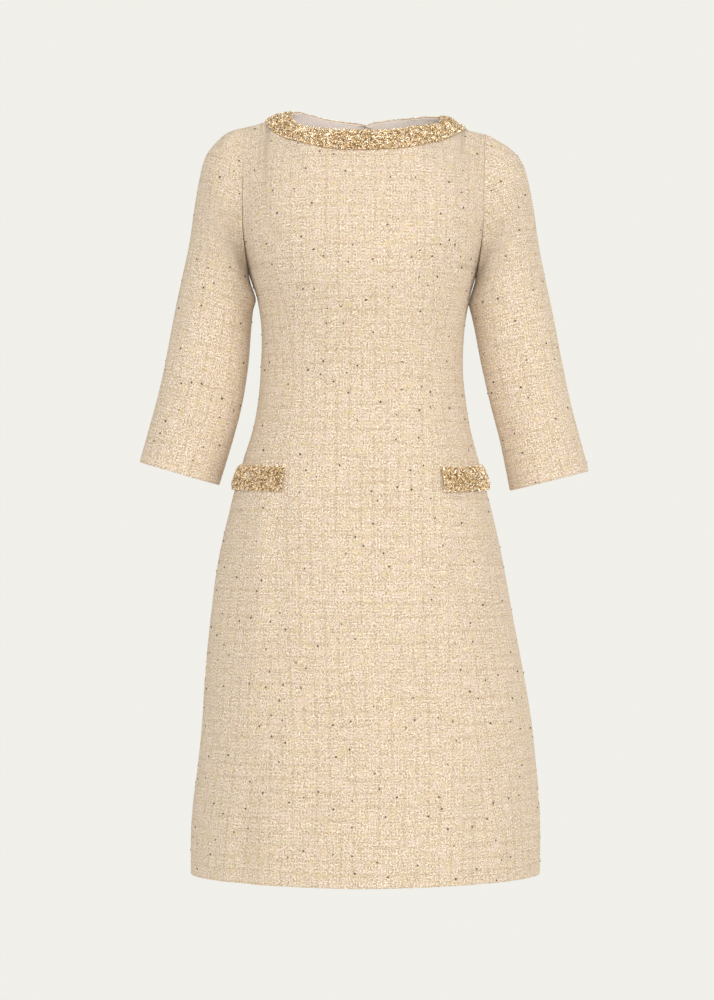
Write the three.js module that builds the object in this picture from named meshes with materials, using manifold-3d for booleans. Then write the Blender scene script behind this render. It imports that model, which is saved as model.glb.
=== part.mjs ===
// An A-line dress in tweed, hollow, filled out as if worn: boat neck with a beaded band,
// set-in three-quarter sleeves, two beaded hip flaps, and a zip down the centre back.
// Millimetres, +Z up. The front of the dress faces -Y and the wearer's left arm is at +X.
// The origin lies midway between the neck ends of the two shoulder seams, where it hangs.

import * as THREE from 'three';
import { mergeVertices } from 'three/addons/utils/BufferGeometryUtils.js';
import Module from 'manifold-3d';

const wasm = await Module();
wasm.setup();

// --- driving dimensions ---------------------------------------------------------------
const tweed = 1.9; // thickness of the tweed
const satin = 1.0; // thickness of the neck lining
const seamGap = 0.3; // daylight left between two sewn pieces
const hemZ = -970;
const underarmZ = -207;
const capHeight = 100; // height over which the body rounds over to the shoulder seam
// The neck band in plan: its inner edge, then its outer edge.
const neck = { half: 95, front: 85, back: 65, frontPower: 2.8, backPower: 2.1 };
const bandEdge = { half: 126, front: 99, back: 82, frontPower: 2.1, backPower: 2.1 };
const bandThick = 2.6;
const notch = { half: 10, depth: 1.7 }; // small V in the neck edge at the centre back
const flap = {
  top: -453,
  height: 28,
  thick: 3.4,
  lift: 0.5,
  kick: 1.2, // how much further its lower edge stands out
  sag: { left: 4, right: 2 }, // how much lower its inner end hangs
};
const welt = { height: 2.8, thick: 2.2 };
const wire = 0.5; // radius of the hook and eye wire
const catchZ = -11.6; // height of the hook and eye on the centre back
const zip = {
  z: -55, // height of the slider's middle on the centre back
  slider: { width: 5.4, height: 11, thick: 1.8, cheek: 0.9, barRadius: 0.55 },
  pull: {
    length: 22,
    topWidth: 3,
    endWidth: 5.6,
    thick: 1.2,
    hole: 1.2, // radius of the hole near its end
    barrelRadius: 1.7,
    play: 0.3,
    lean: 0.12, // radians towards the cloth
  },
};

// --- tables: one row for each section, from the top down --------------------------------
// half: half width, front and back: depth of the section before and behind the side seams,
// power: squareness of the section, lean: how far its centre stands off the middle.
const bodyRows = [
  { z: 60, half: 168, front: 58, back: 56, power: 2.2, lean: 3.5 },
  { z: 0, half: 168, front: 73, back: 70, power: 2.2, lean: 3.5 },
  { z: -32, half: 168, front: 86, back: 83, power: 2.2, lean: 3.5 },
  { z: -60, half: 168, front: 99, back: 94, power: 2.2, lean: 1.5 },
  { z: -95, half: 168, front: 112, back: 103, power: 2.2, lean: 0.5 },
  { z: -130, half: 166, front: 123, back: 109, power: 2.2, lean: 0 },
  { z: -165, half: 158, front: 131, back: 110, power: 2.2, lean: 0 },
  { z: -190, half: 150.5, front: 133, back: 108, power: 2.15, lean: 0 },
  { z: -215, half: 142.5, front: 131, back: 104, power: 2.1, lean: -0.5 },
  { z: -241, half: 134.6, front: 124, back: 98, power: 2.1, lean: 0.4 },
  { z: -280, half: 128.4, front: 112, back: 89, power: 2.1, lean: 0.1 },
  { z: -330, half: 127.9, front: 101, back: 83, power: 2.1, lean: -1.4 },
  { z: -365, half: 130.8, front: 100, back: 87, power: 2.1, lean: -1.3 },
  { z: -406, half: 137.7, front: 105, back: 99, power: 2.15, lean: -1.7 },
  { z: -445, half: 149, front: 112, back: 113, power: 2.2, lean: -2.5 },
  { z: -495, half: 163, front: 119, back: 124, power: 2.2, lean: -3 },
  { z: -560, half: 178, front: 124, back: 131, power: 2.15, lean: -3 },
  { z: -622, half: 188.5, front: 128, back: 134, power: 2.1, lean: -2 },
  { z: -724, half: 202.5, front: 136, back: 138, power: 2.0, lean: 2 },
  { z: -775, half: 208.5, front: 140, back: 140, power: 1.95, lean: 4.5 },
  { z: -825, half: 214, front: 144, back: 143, power: 1.9, lean: 5 },
  { z: -900, half: 221, front: 149, back: 146, power: 1.8, lean: 3.5 },
  { z: -980, half: 221.5, front: 152, back: 148, power: 1.7, lean: 3 },
];

// Height of the ridge the two halves of the body meet on, outwards from the neck.
const ridgeRows = [
  { x: 0, z: 46 },
  { x: 40, z: 43 },
  { x: 60, z: 34 },
  { x: 75, z: 18 },
  { x: 86, z: 5 },
  { x: 95, z: -2 },
  { x: 110, z: -6.8 },
  { x: 120, z: -12 },
  { x: 128, z: -16.6 },
  { x: 140, z: -20.3 },
  { x: 152, z: -22.5 },
  { x: 175, z: -27 },
];

// How much lower that ridge hangs, from the right shoulder (x below 0) to the left one.
const tiltRows = [
  { x: -150, drop: 0 },
  { x: -120, drop: 0.9 },
  { x: -100, drop: 1.9 },
  { x: 0, drop: 3.5 },
  { x: 100, drop: 4.6 },
  { x: 120, drop: 6.2 },
  { x: 150, drop: 7 },
];

// How the neck has settled: each edge of its band in plan, as a share of the even curve.
const settleRows = [
  { x: -126, bandFront: 1.15, bandBack: 0.65, neckFront: 1.08, neckBack: 0.6 },
  { x: -118, bandFront: 1.06, bandBack: 0.65, neckFront: 1.08, neckBack: 0.6 },
  { x: -110, bandFront: 0.985, bandBack: 0.65, neckFront: 1.08, neckBack: 0.6 },
  { x: -95, bandFront: 0.972, bandBack: 0.75, neckFront: 1.08, neckBack: 0.62 },
  { x: -87, bandFront: 0.995, bandBack: 0.84, neckFront: 1.035, neckBack: 0.74 },
  { x: -78, bandFront: 1.03, bandBack: 0.925, neckFront: 1.022, neckBack: 0.9 },
  { x: -68, bandFront: 1.043, bandBack: 0.975, neckFront: 1.02, neckBack: 0.985 },
  { x: -55, bandFront: 1.04, bandBack: 0.993, neckFront: 1.012, neckBack: 1.015 },
  { x: -38, bandFront: 1.025, bandBack: 0.999, neckFront: 1.005, neckBack: 0.998 },
  { x: -20, bandFront: 1.012, bandBack: 0.998, neckFront: 1, neckBack: 0.99 },
  { x: 0, bandFront: 1.005, bandBack: 1.005, neckFront: 1.003, neckBack: 0.985 },
  { x: 20, bandFront: 1.006, bandBack: 0.985, neckFront: 1, neckBack: 0.965 },
  { x: 38, bandFront: 1.018, bandBack: 0.978, neckFront: 0.995, neckBack: 0.965 },
  { x: 55, bandFront: 1.028, bandBack: 0.962, neckFront: 0.972, neckBack: 0.965 },
  { x: 68, bandFront: 1.018, bandBack: 0.922, neckFront: 0.935, neckBack: 0.9 },
  { x: 78, bandFront: 0.975, bandBack: 0.853, neckFront: 0.885, neckBack: 0.755 },
  { x: 87, bandFront: 0.935, bandBack: 0.777, neckFront: 0.872, neckBack: 0.6 },
  { x: 95, bandFront: 0.915, bandBack: 0.715, neckFront: 1.1, neckBack: 0.45 },
  { x: 110, bandFront: 0.89, bandBack: 0.655, neckFront: 1.1, neckBack: 0.45 },
  { x: 118, bandFront: 0.85, bandBack: 0.62, neckFront: 1.1, neckBack: 0.45 },
  { x: 126, bandFront: 0.78, bandBack: 0.6, neckFront: 1.1, neckBack: 0.45 },
];

// Distance of the princess seam from the centre.
const princessRows = [
  { z: 0, x: 120 },
  { z: -100, x: 120 },
  { z: -150, x: 118 },
  { z: -190, x: 111 },
  { z: -250, x: 97 },
  { z: -330, x: 84 },
  { z: -380, x: 85 },
  { z: -475, x: 98 },
  { z: -650, x: 112 },
  { z: -850, x: 130 },
  { z: -980, x: 146 },
];

// Distance of the armhole seam from the centre.
const armholeRows = [
  { z: 0, x: 152.5 },
  { z: -24, x: 152 },
  { z: -60, x: 150.5 },
  { z: -120, x: 149.5 },
  { z: -165, x: 149 },
  { z: -190, x: 147.5 },
];

// The sleeve's rings, shoulder to cuff: the point nearest the body, the point furthest from it,
// the ring's reach forward and back, and for the left sleeve alone how much further out its
// inner line runs and how much lower its outer line hangs.
const sleeveRows = [
  { inX: 145.4, inZ: -211, outX: 169.5, outZ: -28, front: 58, back: 53, slim: -2.4, fall: 8 },
  { inX: 144.1, inZ: -215, outX: 187, outZ: -42, front: 58, back: 54, slim: -2.1, fall: 5.7 },
  { inX: 142.9, inZ: -219, outX: 200, outZ: -60, front: 57.5, back: 54.5, slim: -2.1, fall: 4.7 },
  { inX: 141.4, inZ: -224, outX: 207.5, outZ: -88, front: 57, back: 55, slim: -2.2, fall: 2 },
  { inX: 138.6, inZ: -231, outX: 213.3, outZ: -122, front: 56, back: 55, slim: -1.7, fall: 0.5 },
  { inX: 136, inZ: -242, outX: 219.5, outZ: -165, front: 54.5, back: 55, slim: -1.2, fall: 0 },
  { inX: 139.6, inZ: -256, outX: 227.3, outZ: -204, front: 52.5, back: 54, slim: -1.4, fall: 0 },
  { inX: 142.4, inZ: -283, outX: 237.2, outZ: -250, front: 50, back: 50, slim: 1.5, fall: 0 },
  { inX: 145.8, inZ: -325, outX: 248, outZ: -305, front: 47, back: 44, slim: 6.3, fall: 0 },
  { inX: 153, inZ: -370, outX: 258.7, outZ: -356, front: 46, back: 38, slim: 9.8, fall: 0.5 },
  { inX: 164.5, inZ: -415, outX: 270.7, outZ: -402, front: 47, back: 31, slim: 10, fall: 1.5 },
  { inX: 182.5, inZ: -476.5, outX: 283.5, outZ: -447.2, front: 49, back: 24, slim: 4.3, fall: 4.3 },
];
const ringCount = sleeveRows.length + 1; // with the armhole itself
const sleevePower = 2.1;
const sleeveColumns = 18;
const sleeveGap = 0.6; // how far the sleeve's first ring stands off the armhole
const leftSleeve = { dropTop: 4, dropCuff: 7, out: 3.2 }; // it hangs lower and wider than the right

// --- reading the tables -----------------------------------------------------------------
// The value of one column where `key` equals t, on a smooth curve through the rows.
function read(rows, key, t, column) {
  const falling = rows[0][key] > rows[1][key];
  let i = 0;
  while (i < rows.length - 2 && (falling ? t < rows[i + 1][key] : t > rows[i + 1][key])) {
    i += 1;
  }
  const slope = (a, b) => (rows[b][column] - rows[a][column]) / (rows[b][key] - rows[a][key]);
  const last = rows.length - 1;
  const middle = slope(i, i + 1);
  const startSlope = i > 0 ? slope(i - 1, i + 1) : middle;
  const endSlope = i + 2 <= last ? slope(i, i + 2) : middle;
  const span = rows[i + 1][key] - rows[i][key];
  const s = THREE.MathUtils.clamp((t - rows[i][key]) / span, 0, 1);
  return (
    rows[i][column] * (1 + 2 * s) * (1 - s) ** 2 +
    rows[i + 1][column] * s * s * (3 - 2 * s) +
    span * startSlope * s * (1 - s) ** 2 +
    span * endSlope * s * s * (s - 1)
  );
}

const body = (z, column) => read(bodyRows, 'z', z, column);
const signedPower = (value, power) => Math.sign(value) * Math.abs(value) ** power;

const ridgeZ = (x) => read(ridgeRows, 'x', Math.abs(x), 'z') - read(tiltRows, 'x', x, 'drop');

// --- the body's form --------------------------------------------------------------------
// Square of the distance from the side-seam plane to the cloth, below zero off the form.
function depthSquared(x, z, side) {
  const fromCentre = Math.abs(x - body(z, 'lean')) / body(z, 'half');
  const power = body(z, 'power');
  const roundness = signedPower(1 - fromCentre ** power, 2 / power);
  const below = (ridgeZ(x) - z) / capHeight;
  const cap = below < 1 ? 2 * below - below * below : 1;
  return body(z, side) ** 2 * roundness * cap;
}

// The point of the cloth's outer face at x and height z, on the 'front' or the 'back'.
function bodyPoint(x, z, side) {
  const depth = Math.sqrt(Math.max(0, depthSquared(x, z, side)));
  return new THREE.Vector3(x, side === 'front' ? -depth : depth, z);
}

// Height of the form above the plan point (x, y), found by halving between two heights.
function heightOver(x, y) {
  const side = y < 0 ? 'front' : 'back';
  let high = ridgeZ(x);
  let low = -150;
  for (let i = 0; i < 40; i += 1) {
    const z = (high + low) / 2;
    if (depthSquared(x, z, side) < y * y) high = z;
    else low = z;
  }
  return low;
}

// Outward normal of the form at a point, from its slope a millimetre either way.
function bodyNormal(p) {
  const side = p.y < 0 ? 'front' : 'back';
  const slopeX = depthSquared(p.x + 1, p.z, side) - depthSquared(p.x - 1, p.z, side);
  const slopeZ = depthSquared(p.x, p.z + 1, side) - depthSquared(p.x, p.z - 1, side);
  return new THREE.Vector3(-slopeX, 4 * p.y, -slopeZ).normalize();
}

// --- where the panels' edges run ----------------------------------------------------------
// Distance of a plan curve (neck edge or band edge) in front of or behind the ridge.
// fromCentre is above 0 on the wearer's left and below 0 on the right.
function planDepth(curve, fromCentre, side) {
  const power = curve[`${side}Power`];
  const share = Math.max(0, 1 - Math.abs(fromCentre / curve.half) ** power) ** (1 / power);
  const even = curve[side] * share;
  const settle = (column) => read(settleRows, 'x', fromCentre, column);
  if (curve === bandEdge) return even * settle(side === 'front' ? 'bandFront' : 'bandBack');
  if (side === 'front') return even * settle('neckFront');
  const inNotch = Math.max(0, 1 - Math.abs(fromCentre) / notch.half);
  return even * settle('neckBack') + notch.depth * inNotch;
}

// Top edge of the panels at x: the neck band's lower edge, then the shoulder seam.
function topZ(x, side) {
  const fromCentre = x - body(0, 'lean');
  if (Math.abs(fromCentre) >= bandEdge.half) return ridgeZ(x);
  const y = planDepth(bandEdge, fromCentre, side);
  return heightOver(x, side === 'front' ? -y : y);
}

// Where the armhole seam (above the underarm) or the side seam (below) stands at height z.
function edgeAngle(z) {
  if (z <= underarmZ) return Math.PI / 2;
  const lowest = armholeRows[armholeRows.length - 1];
  const seam =
    z < lowest.z
      ? THREE.MathUtils.mapLinear(z, lowest.z, underarmZ, lowest.x, body(underarmZ, 'half'))
      : read(armholeRows, 'z', z, 'x');
  const x = Math.min(seam, body(z, 'half'));
  return Math.asin((x / body(z, 'half')) ** (body(z, 'power') / 2));
}

// Distance from the centre: u = 0 the centre, 1 the princess seam, 2 the armhole or side seam.
function across(u, z) {
  const princess = read(princessRows, 'z', z, 'x');
  if (u <= 1) return u * princess;
  const half = body(z, 'half');
  const power = body(z, 'power');
  const start = Math.asin((princess / half) ** (power / 2));
  const angle = THREE.MathUtils.lerp(start, edgeAngle(z), u - 1);
  return half * Math.sin(angle) ** (2 / power);
}

// u of the panel column whose top end stands at this distance from the centre.
const topLevel = -30;
function columnAt(distance) {
  const princess = read(princessRows, 'z', topLevel, 'x');
  if (distance <= princess) return distance / princess;
  const toAngle = (x) => Math.asin((x / body(topLevel, 'half')) ** (body(topLevel, 'power') / 2));
  const start = toAngle(princess);
  return 1 + (toAngle(distance) - start) / (edgeAngle(topLevel) - start);
}

// Heights of the panels' rows up to the underarm. The flap and its welt lie between four of them.
const flapBottom = flap.top - flap.height;
const weltTop = flap.top + seamGap + welt.height;
const lowerRows = [
  ...[hemZ, -900, -825, -750, -680, -610, -545],
  ...[flapBottom, flap.top - flap.height / 2, flap.top, flap.top + seamGap, weltTop],
  ...[-405, -360, -315, -275, -240, underarmZ],
];
const chestRows = 7;
const rowCount = lowerRows.length + chestRows;

// Above the underarm the rows close up towards the top edge, where the form turns over.
function rowZ(row, top) {
  if (row < lowerRows.length) return lowerRows[row];
  const down = 1 - (row + 1 - lowerRows.length) / chestRows;
  return top + (underarmZ - top) * (1 - Math.cos((down * Math.PI) / 2));
}

// --- turning a grid of points into a closed wall of cloth ---------------------------------
// Moves one edge of the grid towards its neighbours, to leave half the seam's gap.
function pullIn(grid, edge, distance = seamGap / 2) {
  const rows = grid.length;
  const columns = grid[0].length;
  const pairs = {
    first: () => grid.map((row) => [row[0], row[1]]),
    last: () => grid.map((row) => [row[columns - 1], row[columns - 2]]),
    top: () => grid[rows - 1].map((cell, i) => [cell, grid[rows - 2][i]]),
    bottom: () => grid[0].map((cell, i) => [cell, grid[1][i]]),
  }[edge]();
  for (const [cell, inner] of pairs) {
    const step = inner.p.clone().sub(cell.p).setLength(distance);
    cell.p = cell.p.clone().add(step);
  }
}

// Grid cells hold p (a point of the outer face) and n (its normal); lift moves both faces out.
function wallGeometry(grid, thick, lift = 0) {
  const rows = grid.length;
  const columns = grid[0].length;
  const positions = [];
  for (const offset of [lift + thick, lift]) {
    for (const row of grid) {
      for (const { p, n, extra = 0 } of row) {
        positions.push(...p.clone().addScaledVector(n, offset + extra).toArray());
      }
    }
  }
  const outer = (i, j) => i * columns + j;
  const inner = (i, j) => rows * columns + i * columns + j;
  const index = [];
  const quad = (a, b, c, d) => index.push(a, b, c, a, c, d);
  for (let i = 0; i < rows - 1; i += 1) {
    for (let j = 0; j < columns - 1; j += 1) {
      quad(outer(i, j), outer(i, j + 1), outer(i + 1, j + 1), outer(i + 1, j));
      quad(inner(i, j), inner(i + 1, j), inner(i + 1, j + 1), inner(i, j + 1));
    }
    quad(outer(i, 0), outer(i + 1, 0), inner(i + 1, 0), inner(i, 0));
    const end = columns - 1;
    quad(outer(i + 1, end), outer(i, end), inner(i, end), inner(i + 1, end));
  }
  for (let j = 0; j < columns - 1; j += 1) {
    quad(outer(0, j + 1), outer(0, j), inner(0, j), inner(0, j + 1));
    quad(outer(rows - 1, j), outer(rows - 1, j + 1), inner(rows - 1, j + 1), inner(rows - 1, j));
  }
  const [row, column] = [rows >> 1, columns >> 1];
  const { p: middle, n: outwards } = grid[row][column];
  const sideways = column + 1 < columns ? 1 : -1;
  const upwards = row + 1 < rows ? 1 : -1;
  const along = grid[row][column + sideways].p.clone().sub(middle);
  const up = grid[row + upwards][column].p.clone().sub(middle);
  if (along.cross(up).dot(outwards) * sideways * upwards < 0) index.reverse();
  const geometry = new THREE.BufferGeometry();
  geometry.setAttribute('position', new THREE.Float32BufferAttribute(positions, 3));
  geometry.setIndex(index);
  geometry.computeVertexNormals();
  return geometry;
}

const cloth = (colour, roughness = 0.95) =>
  new THREE.MeshStandardMaterial({ color: colour, roughness, metalness: 0 });
const metal = (colour, roughness) =>
  new THREE.MeshStandardMaterial({ color: colour, roughness, metalness: 1 });

const dress = new THREE.Group();

function addMesh(name, geometry, material) {
  const mesh = new THREE.Mesh(geometry, material);
  mesh.name = name;
  dress.add(mesh);
  return mesh;
}

// --- body panels --------------------------------------------------------------------------
const centreColumns = [0, 22, 43, 63, 80, 95, 107, 115, 120].map(columnAt);
const sideColumns = [...[120, 124.5, 126].map(columnAt), 1.34, 1.53, 1.71, 1.87, 2];

// hand: +1 on the wearer's left, -1 on the right. Columns run outwards from the centre.
function panelCell(u, row, side, hand) {
  const topX = body(0, 'lean') + hand * across(u, topLevel);
  const z = rowZ(row, topZ(topX, side));
  const x = row === rowCount - 1 ? topX : body(z, 'lean') + hand * across(u, z);
  const p = bodyPoint(x, z, side);
  return { p, n: bodyNormal(p) };
}

function panelGrid(columns, side, hand, firstRow = 0) {
  const grid = [];
  for (let row = firstRow; row < rowCount; row += 1) {
    grid.push(columns.map((u) => panelCell(Math.abs(u), row, side, u < 0 ? -hand : hand)));
  }
  return grid;
}

function addPanel(name, columns, side, hand) {
  const grid = panelGrid(columns, side, hand);
  ['first', 'last', 'top'].forEach((edge) => pullIn(grid, edge));
  addMesh(name, wallGeometry(grid, tweed, -tweed), cloth(0xe7d3b8));
}

const mirrored = (columns) => [...columns.slice(1).map((u) => -u).reverse(), ...columns];
const sides = [
  { label: 'left', hand: 1 },
  { label: 'right', hand: -1 },
];
addPanel('front_centre', mirrored(centreColumns), 'front', 1);
for (const { label, hand } of sides) {
  addPanel(`side_front_${label}`, sideColumns, 'front', hand);
  addPanel(`back_${label}`, [...centreColumns, ...sideColumns.slice(1)], 'back', hand);
}

// --- sleeves ------------------------------------------------------------------------------
// The armhole's loop: angle 0 at the underarm, 180 at the shoulder seam, front first.
function armholePoint(angle, hand) {
  const side = angle <= Math.PI ? 'front' : 'back';
  const top = ridgeZ(hand * read(armholeRows, 'z', -24, 'x'));
  const z = THREE.MathUtils.lerp(underarmZ, top, (1 - Math.cos(angle)) / 2);
  const half = body(z, 'half') * Math.sin(edgeAngle(z)) ** (2 / body(z, 'power'));
  return bodyPoint(body(z, 'lean') + hand * half, z, side);
}

// A point of ring i, straight across from its inner point to its outer one at mid height.
function sleevePoint(i, angle, hand) {
  if (i === 0) return armholePoint(angle, hand);
  const ring = sleeveRows[i - 1];
  const share = 0.5 - 0.5 * signedPower(Math.cos(angle), 2 / sleevePower);
  const reach = Math.sin(angle) >= 0 ? -ring.front : ring.back;
  const along = i / (ringCount - 1);
  const isLeft = hand > 0 ? 1 : 0;
  const hang = THREE.MathUtils.lerp(leftSleeve.dropTop, leftSleeve.dropCuff, along);
  const drop = isLeft * (hang + ring.fall * share);
  const innerX = ring.inX + isLeft * ring.slim;
  const outerX = ring.outX + isLeft * leftSleeve.out;
  return new THREE.Vector3(
    hand * THREE.MathUtils.lerp(innerX, outerX, share),
    reach * Math.abs(Math.sin(angle)) ** (2 / sleevePower),
    THREE.MathUtils.lerp(ring.inZ, ring.outZ, share) - drop,
  );
}

function sleeveGrid(hand) {
  const place = (i, j) => {
    const fullTurn = 2 * Math.PI;
    const turn = THREE.MathUtils.euclideanModulo((fullTurn * j) / sleeveColumns, fullTurn);
    const p = sleevePoint(i, turn, hand);
    if (i === 0) p.x += hand * sleeveGap;
    return p;
  };
  const grid = [];
  for (let i = 0; i < ringCount; i += 1) {
    const row = [];
    for (let j = 0; j <= sleeveColumns; j += 1) {
      const around = place(i, j + 1).sub(place(i, j - 1));
      const down = place(Math.min(i + 1, ringCount - 1), j).sub(place(Math.max(i - 1, 0), j));
      const n = down.cross(around).normalize().multiplyScalar(hand);
      row.push({ p: place(i, j), n });
    }
    grid.push(row);
  }
  return grid;
}

for (const { label, hand } of sides) {
  const grid = sleeveGrid(hand);
  pullIn(grid, 'first');
  pullIn(grid, 'last');
  addMesh(`sleeve_${label}`, wallGeometry(grid, tweed, -tweed), cloth(0xe7d3b8));
}

// --- neck band ------------------------------------------------------------------------------
const bandSteps = 2;
const bandColumns = [...centreColumns, ...sideColumns.slice(1, 3)];

// The band goes on from the panels' top ends: w = 0 its lower edge, 1 the neck edge.
function bandCell(u, w, side, hand) {
  const outerX = Math.min(across(u, topLevel), bandEdge.half);
  const turn = Math.asin((outerX / bandEdge.half) ** (bandEdge[`${side}Power`] / 2));
  const neckX = neck.half * Math.sin(turn) ** (2 / neck[`${side}Power`]);
  const fromCentre = THREE.MathUtils.lerp(outerX, neckX, w);
  const outerY = planDepth(bandEdge, hand * outerX, side);
  const neckY = planDepth(neck, hand * neckX, side);
  const y = THREE.MathUtils.lerp(outerY, neckY, w);
  const x = body(0, 'lean') + hand * fromCentre;
  const p = new THREE.Vector3(x, side === 'front' ? -y : y, 0);
  p.z = heightOver(p.x, p.y);
  return { p, n: bodyNormal(p) };
}

function bandGrid(columns, side, hand) {
  const grid = [];
  for (let i = 0; i <= bandSteps; i += 1) {
    grid.push(columns.map((u) => bandCell(Math.abs(u), i / bandSteps, side, u < 0 ? -hand : hand)));
  }
  return grid;
}

function addBand(name, columns, side, hand) {
  const grid = bandGrid(columns, side, hand);
  ['first', 'last', 'bottom'].forEach((edge) => pullIn(grid, edge));
  addMesh(name, wallGeometry(grid, tweed + bandThick, -tweed), cloth(0xc9a56e, 0.5));
}

addBand('neck_band_front', mirrored(bandColumns), 'front', 1);
for (const { label, hand } of sides) addBand(`neck_band_back_${label}`, bandColumns, 'back', hand);

// --- neck lining, inside the back only --------------------------------------------------------
// It lies behind the band and the four panel rows below it, as far out as the shoulder seam.
const liningRows = 4;
for (const { label, hand } of sides) {
  const columns = bandColumns.slice(0, -1);
  const panelPart = panelGrid(columns, 'back', hand, rowCount - 1 - liningRows);
  const grid = [...panelPart, ...bandGrid(columns, 'back', hand).slice(1)];
  ['first', 'last'].forEach((edge) => pullIn(grid, edge));
  pullIn(grid, 'top', 1);
  const inside = -tweed - seamGap - satin;
  addMesh(`neck_lining_${label}`, wallGeometry(grid, satin, inside), cloth(0xeadccd, 0.4));
}

// --- hip flaps and the welt above each --------------------------------------------------------
// Its columns are the side front's, and it hangs lower towards its inner end by `sag`.
function addHipPiece(name, hand, rows, sag, kick, thick, lift, material) {
  const grid = rows.map((row) =>
    sideColumns.map((u) => {
      const level = lowerRows[row];
      const z = level - sag * (2 - u);
      const p = bodyPoint(body(z, 'lean') + hand * across(u, z), z, 'front');
      return { p, n: bodyNormal(p), extra: (kick * (flap.top - level)) / flap.height };
    }),
  );
  ['first', 'last'].forEach((edge) => pullIn(grid, edge, 0.5));
  addMesh(name, wallGeometry(grid, thick, lift), material);
}

const flapRow = lowerRows.indexOf(flapBottom);
const weltRow = lowerRows.indexOf(weltTop);
for (const { label, hand } of sides) {
  const flapRows = [flapRow, flapRow + 1, flapRow + 2];
  const weltRows = [weltRow - 1, weltRow];
  const sag = flap.sag[label];
  const beaded = cloth(0xc8a86f, 0.5);
  addHipPiece(`flap_${label}`, hand, flapRows, sag, flap.kick, flap.thick, flap.lift, beaded);
  addHipPiece(`flap_welt_${label}`, hand, weltRows, sag, 0, welt.thick, flap.lift, cloth(0xe7d3b8));
}

// --- hook and eye at the top of the centre back -------------------------------------------------
// A wire bent along the given points, in its own frame: x across, y outwards, z up the cloth.
function wireGeometry(points, radius, steps) {
  const section = new THREE.Shape().absarc(0, 0, radius, 0, 2 * Math.PI);
  const corners = points.map((p) => new THREE.Vector3(...p));
  const extrudePath = new THREE.CatmullRomCurve3(corners, false, 'centripetal');
  return new THREE.ExtrudeGeometry(section, { extrudePath, steps, curveSegments: 4 });
}

// A group standing on the back's outer face at height z on the centre line, y straight out of it.
function groupOnBack(z) {
  const p = bodyPoint(body(z, 'lean'), z, 'back');
  const n = bodyNormal(p);
  const group = new THREE.Group();
  group.position.copy(p);
  group.rotation.x = Math.atan2(n.z, n.y);
  dress.add(group);
  return group;
}

function addTo(group, name, geometry, material) {
  const mesh = new THREE.Mesh(geometry, material);
  mesh.name = name;
  group.add(mesh);
  return mesh;
}

const catchDepth = 2.6; // how far the hook and eye stand in from the lining
const inwards = tweed + seamGap + satin + seamGap + catchDepth;
const catchGroup = groupOnBack(catchZ);
const loop = 2.5; // half width of the eye's loop
addTo(
  catchGroup,
  'neck_eye',
  wireGeometry(
    [
      [-8, -inwards, loop],
      [-4, -inwards, loop],
      [-1.2, -inwards, loop * 0.8],
      [0, -inwards, 0],
      [-1.2, -inwards, -loop * 0.8],
      [-4, -inwards, -loop],
      [-8, -inwards, -loop],
    ],
    wire,
    20,
  ),
  metal(0xb9b9b6, 0.35),
);
const bend = 2 * wire + 0.4; // the hook's bill turns back round the eye at this distance
addTo(
  catchGroup,
  'neck_hook',
  wireGeometry(
    [
      [8, -inwards - bend, 0],
      [3, -inwards - bend, 0],
      [-0.4, -inwards - bend, 0],
      [-bend - 0.3, -inwards, 0],
      [-0.4, -inwards + bend, 0],
      [2.6, -inwards + bend, 0],
    ],
    wire,
    20,
  ),
  metal(0xb9b9b6, 0.35),
);

// --- zip slider and pull tab on the centre back ---------------------------------------------------
function toSolid(geometry) {
  const bare = geometry.index ? geometry.toNonIndexed() : geometry.clone();
  bare.deleteAttribute('normal');
  bare.deleteAttribute('uv');
  const merged = mergeVertices(bare, 1e-4);
  return new wasm.Manifold(
    new wasm.Mesh({
      numProp: 3,
      vertProperties: merged.attributes.position.array,
      triVerts: new Uint32Array(merged.index.array),
    }),
  );
}

function joined(geometries) {
  const mesh = geometries.map(toSolid).reduce((a, b) => a.add(b)).getMesh();
  const geometry = new THREE.BufferGeometry();
  geometry.setAttribute('position', new THREE.BufferAttribute(mesh.vertProperties, 3));
  geometry.setIndex(new THREE.BufferAttribute(mesh.triVerts, 1));
  geometry.computeVertexNormals();
  return geometry;
}

// A plate with a rounded end, hanging down from its top edge, its thickness halved by y = 0.
function plateGeometry(topWidth, endWidth, length, thick, hole) {
  const outline = new THREE.Shape();
  const corner = 0.3 * topWidth;
  outline.moveTo(-topWidth / 2, -corner);
  outline.quadraticCurveTo(-topWidth / 2, 0, -topWidth / 2 + corner, 0);
  outline.lineTo(topWidth / 2 - corner, 0);
  outline.quadraticCurveTo(topWidth / 2, 0, topWidth / 2, -corner);
  outline.lineTo(endWidth / 2, endWidth / 2 - length);
  outline.absarc(0, endWidth / 2 - length, endWidth / 2, 0, -Math.PI, true);
  outline.closePath();
  if (hole) outline.holes.push(new THREE.Path().absarc(0, endWidth / 2 - length, hole, 0, 2 * Math.PI));
  const options = { depth: thick, bevelEnabled: false, curveSegments: 6 };
  const geometry = new THREE.ExtrudeGeometry(outline, options);
  return geometry.rotateX(Math.PI / 2).translate(0, thick / 2, 0); // length along -Z, thickness along Y
}

// A round bar along X, hollow if it has a bore.
function barGeometry(radius, length, bore) {
  const section = new THREE.Shape().absarc(0, 0, radius, 0, 2 * Math.PI);
  if (bore) section.holes.push(new THREE.Path().absarc(0, 0, bore, 0, 2 * Math.PI));
  const options = { depth: length, bevelEnabled: false, curveSegments: 7 };
  return new THREE.ExtrudeGeometry(section, options).translate(0, 0, -length / 2).rotateY(Math.PI / 2);
}

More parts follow.
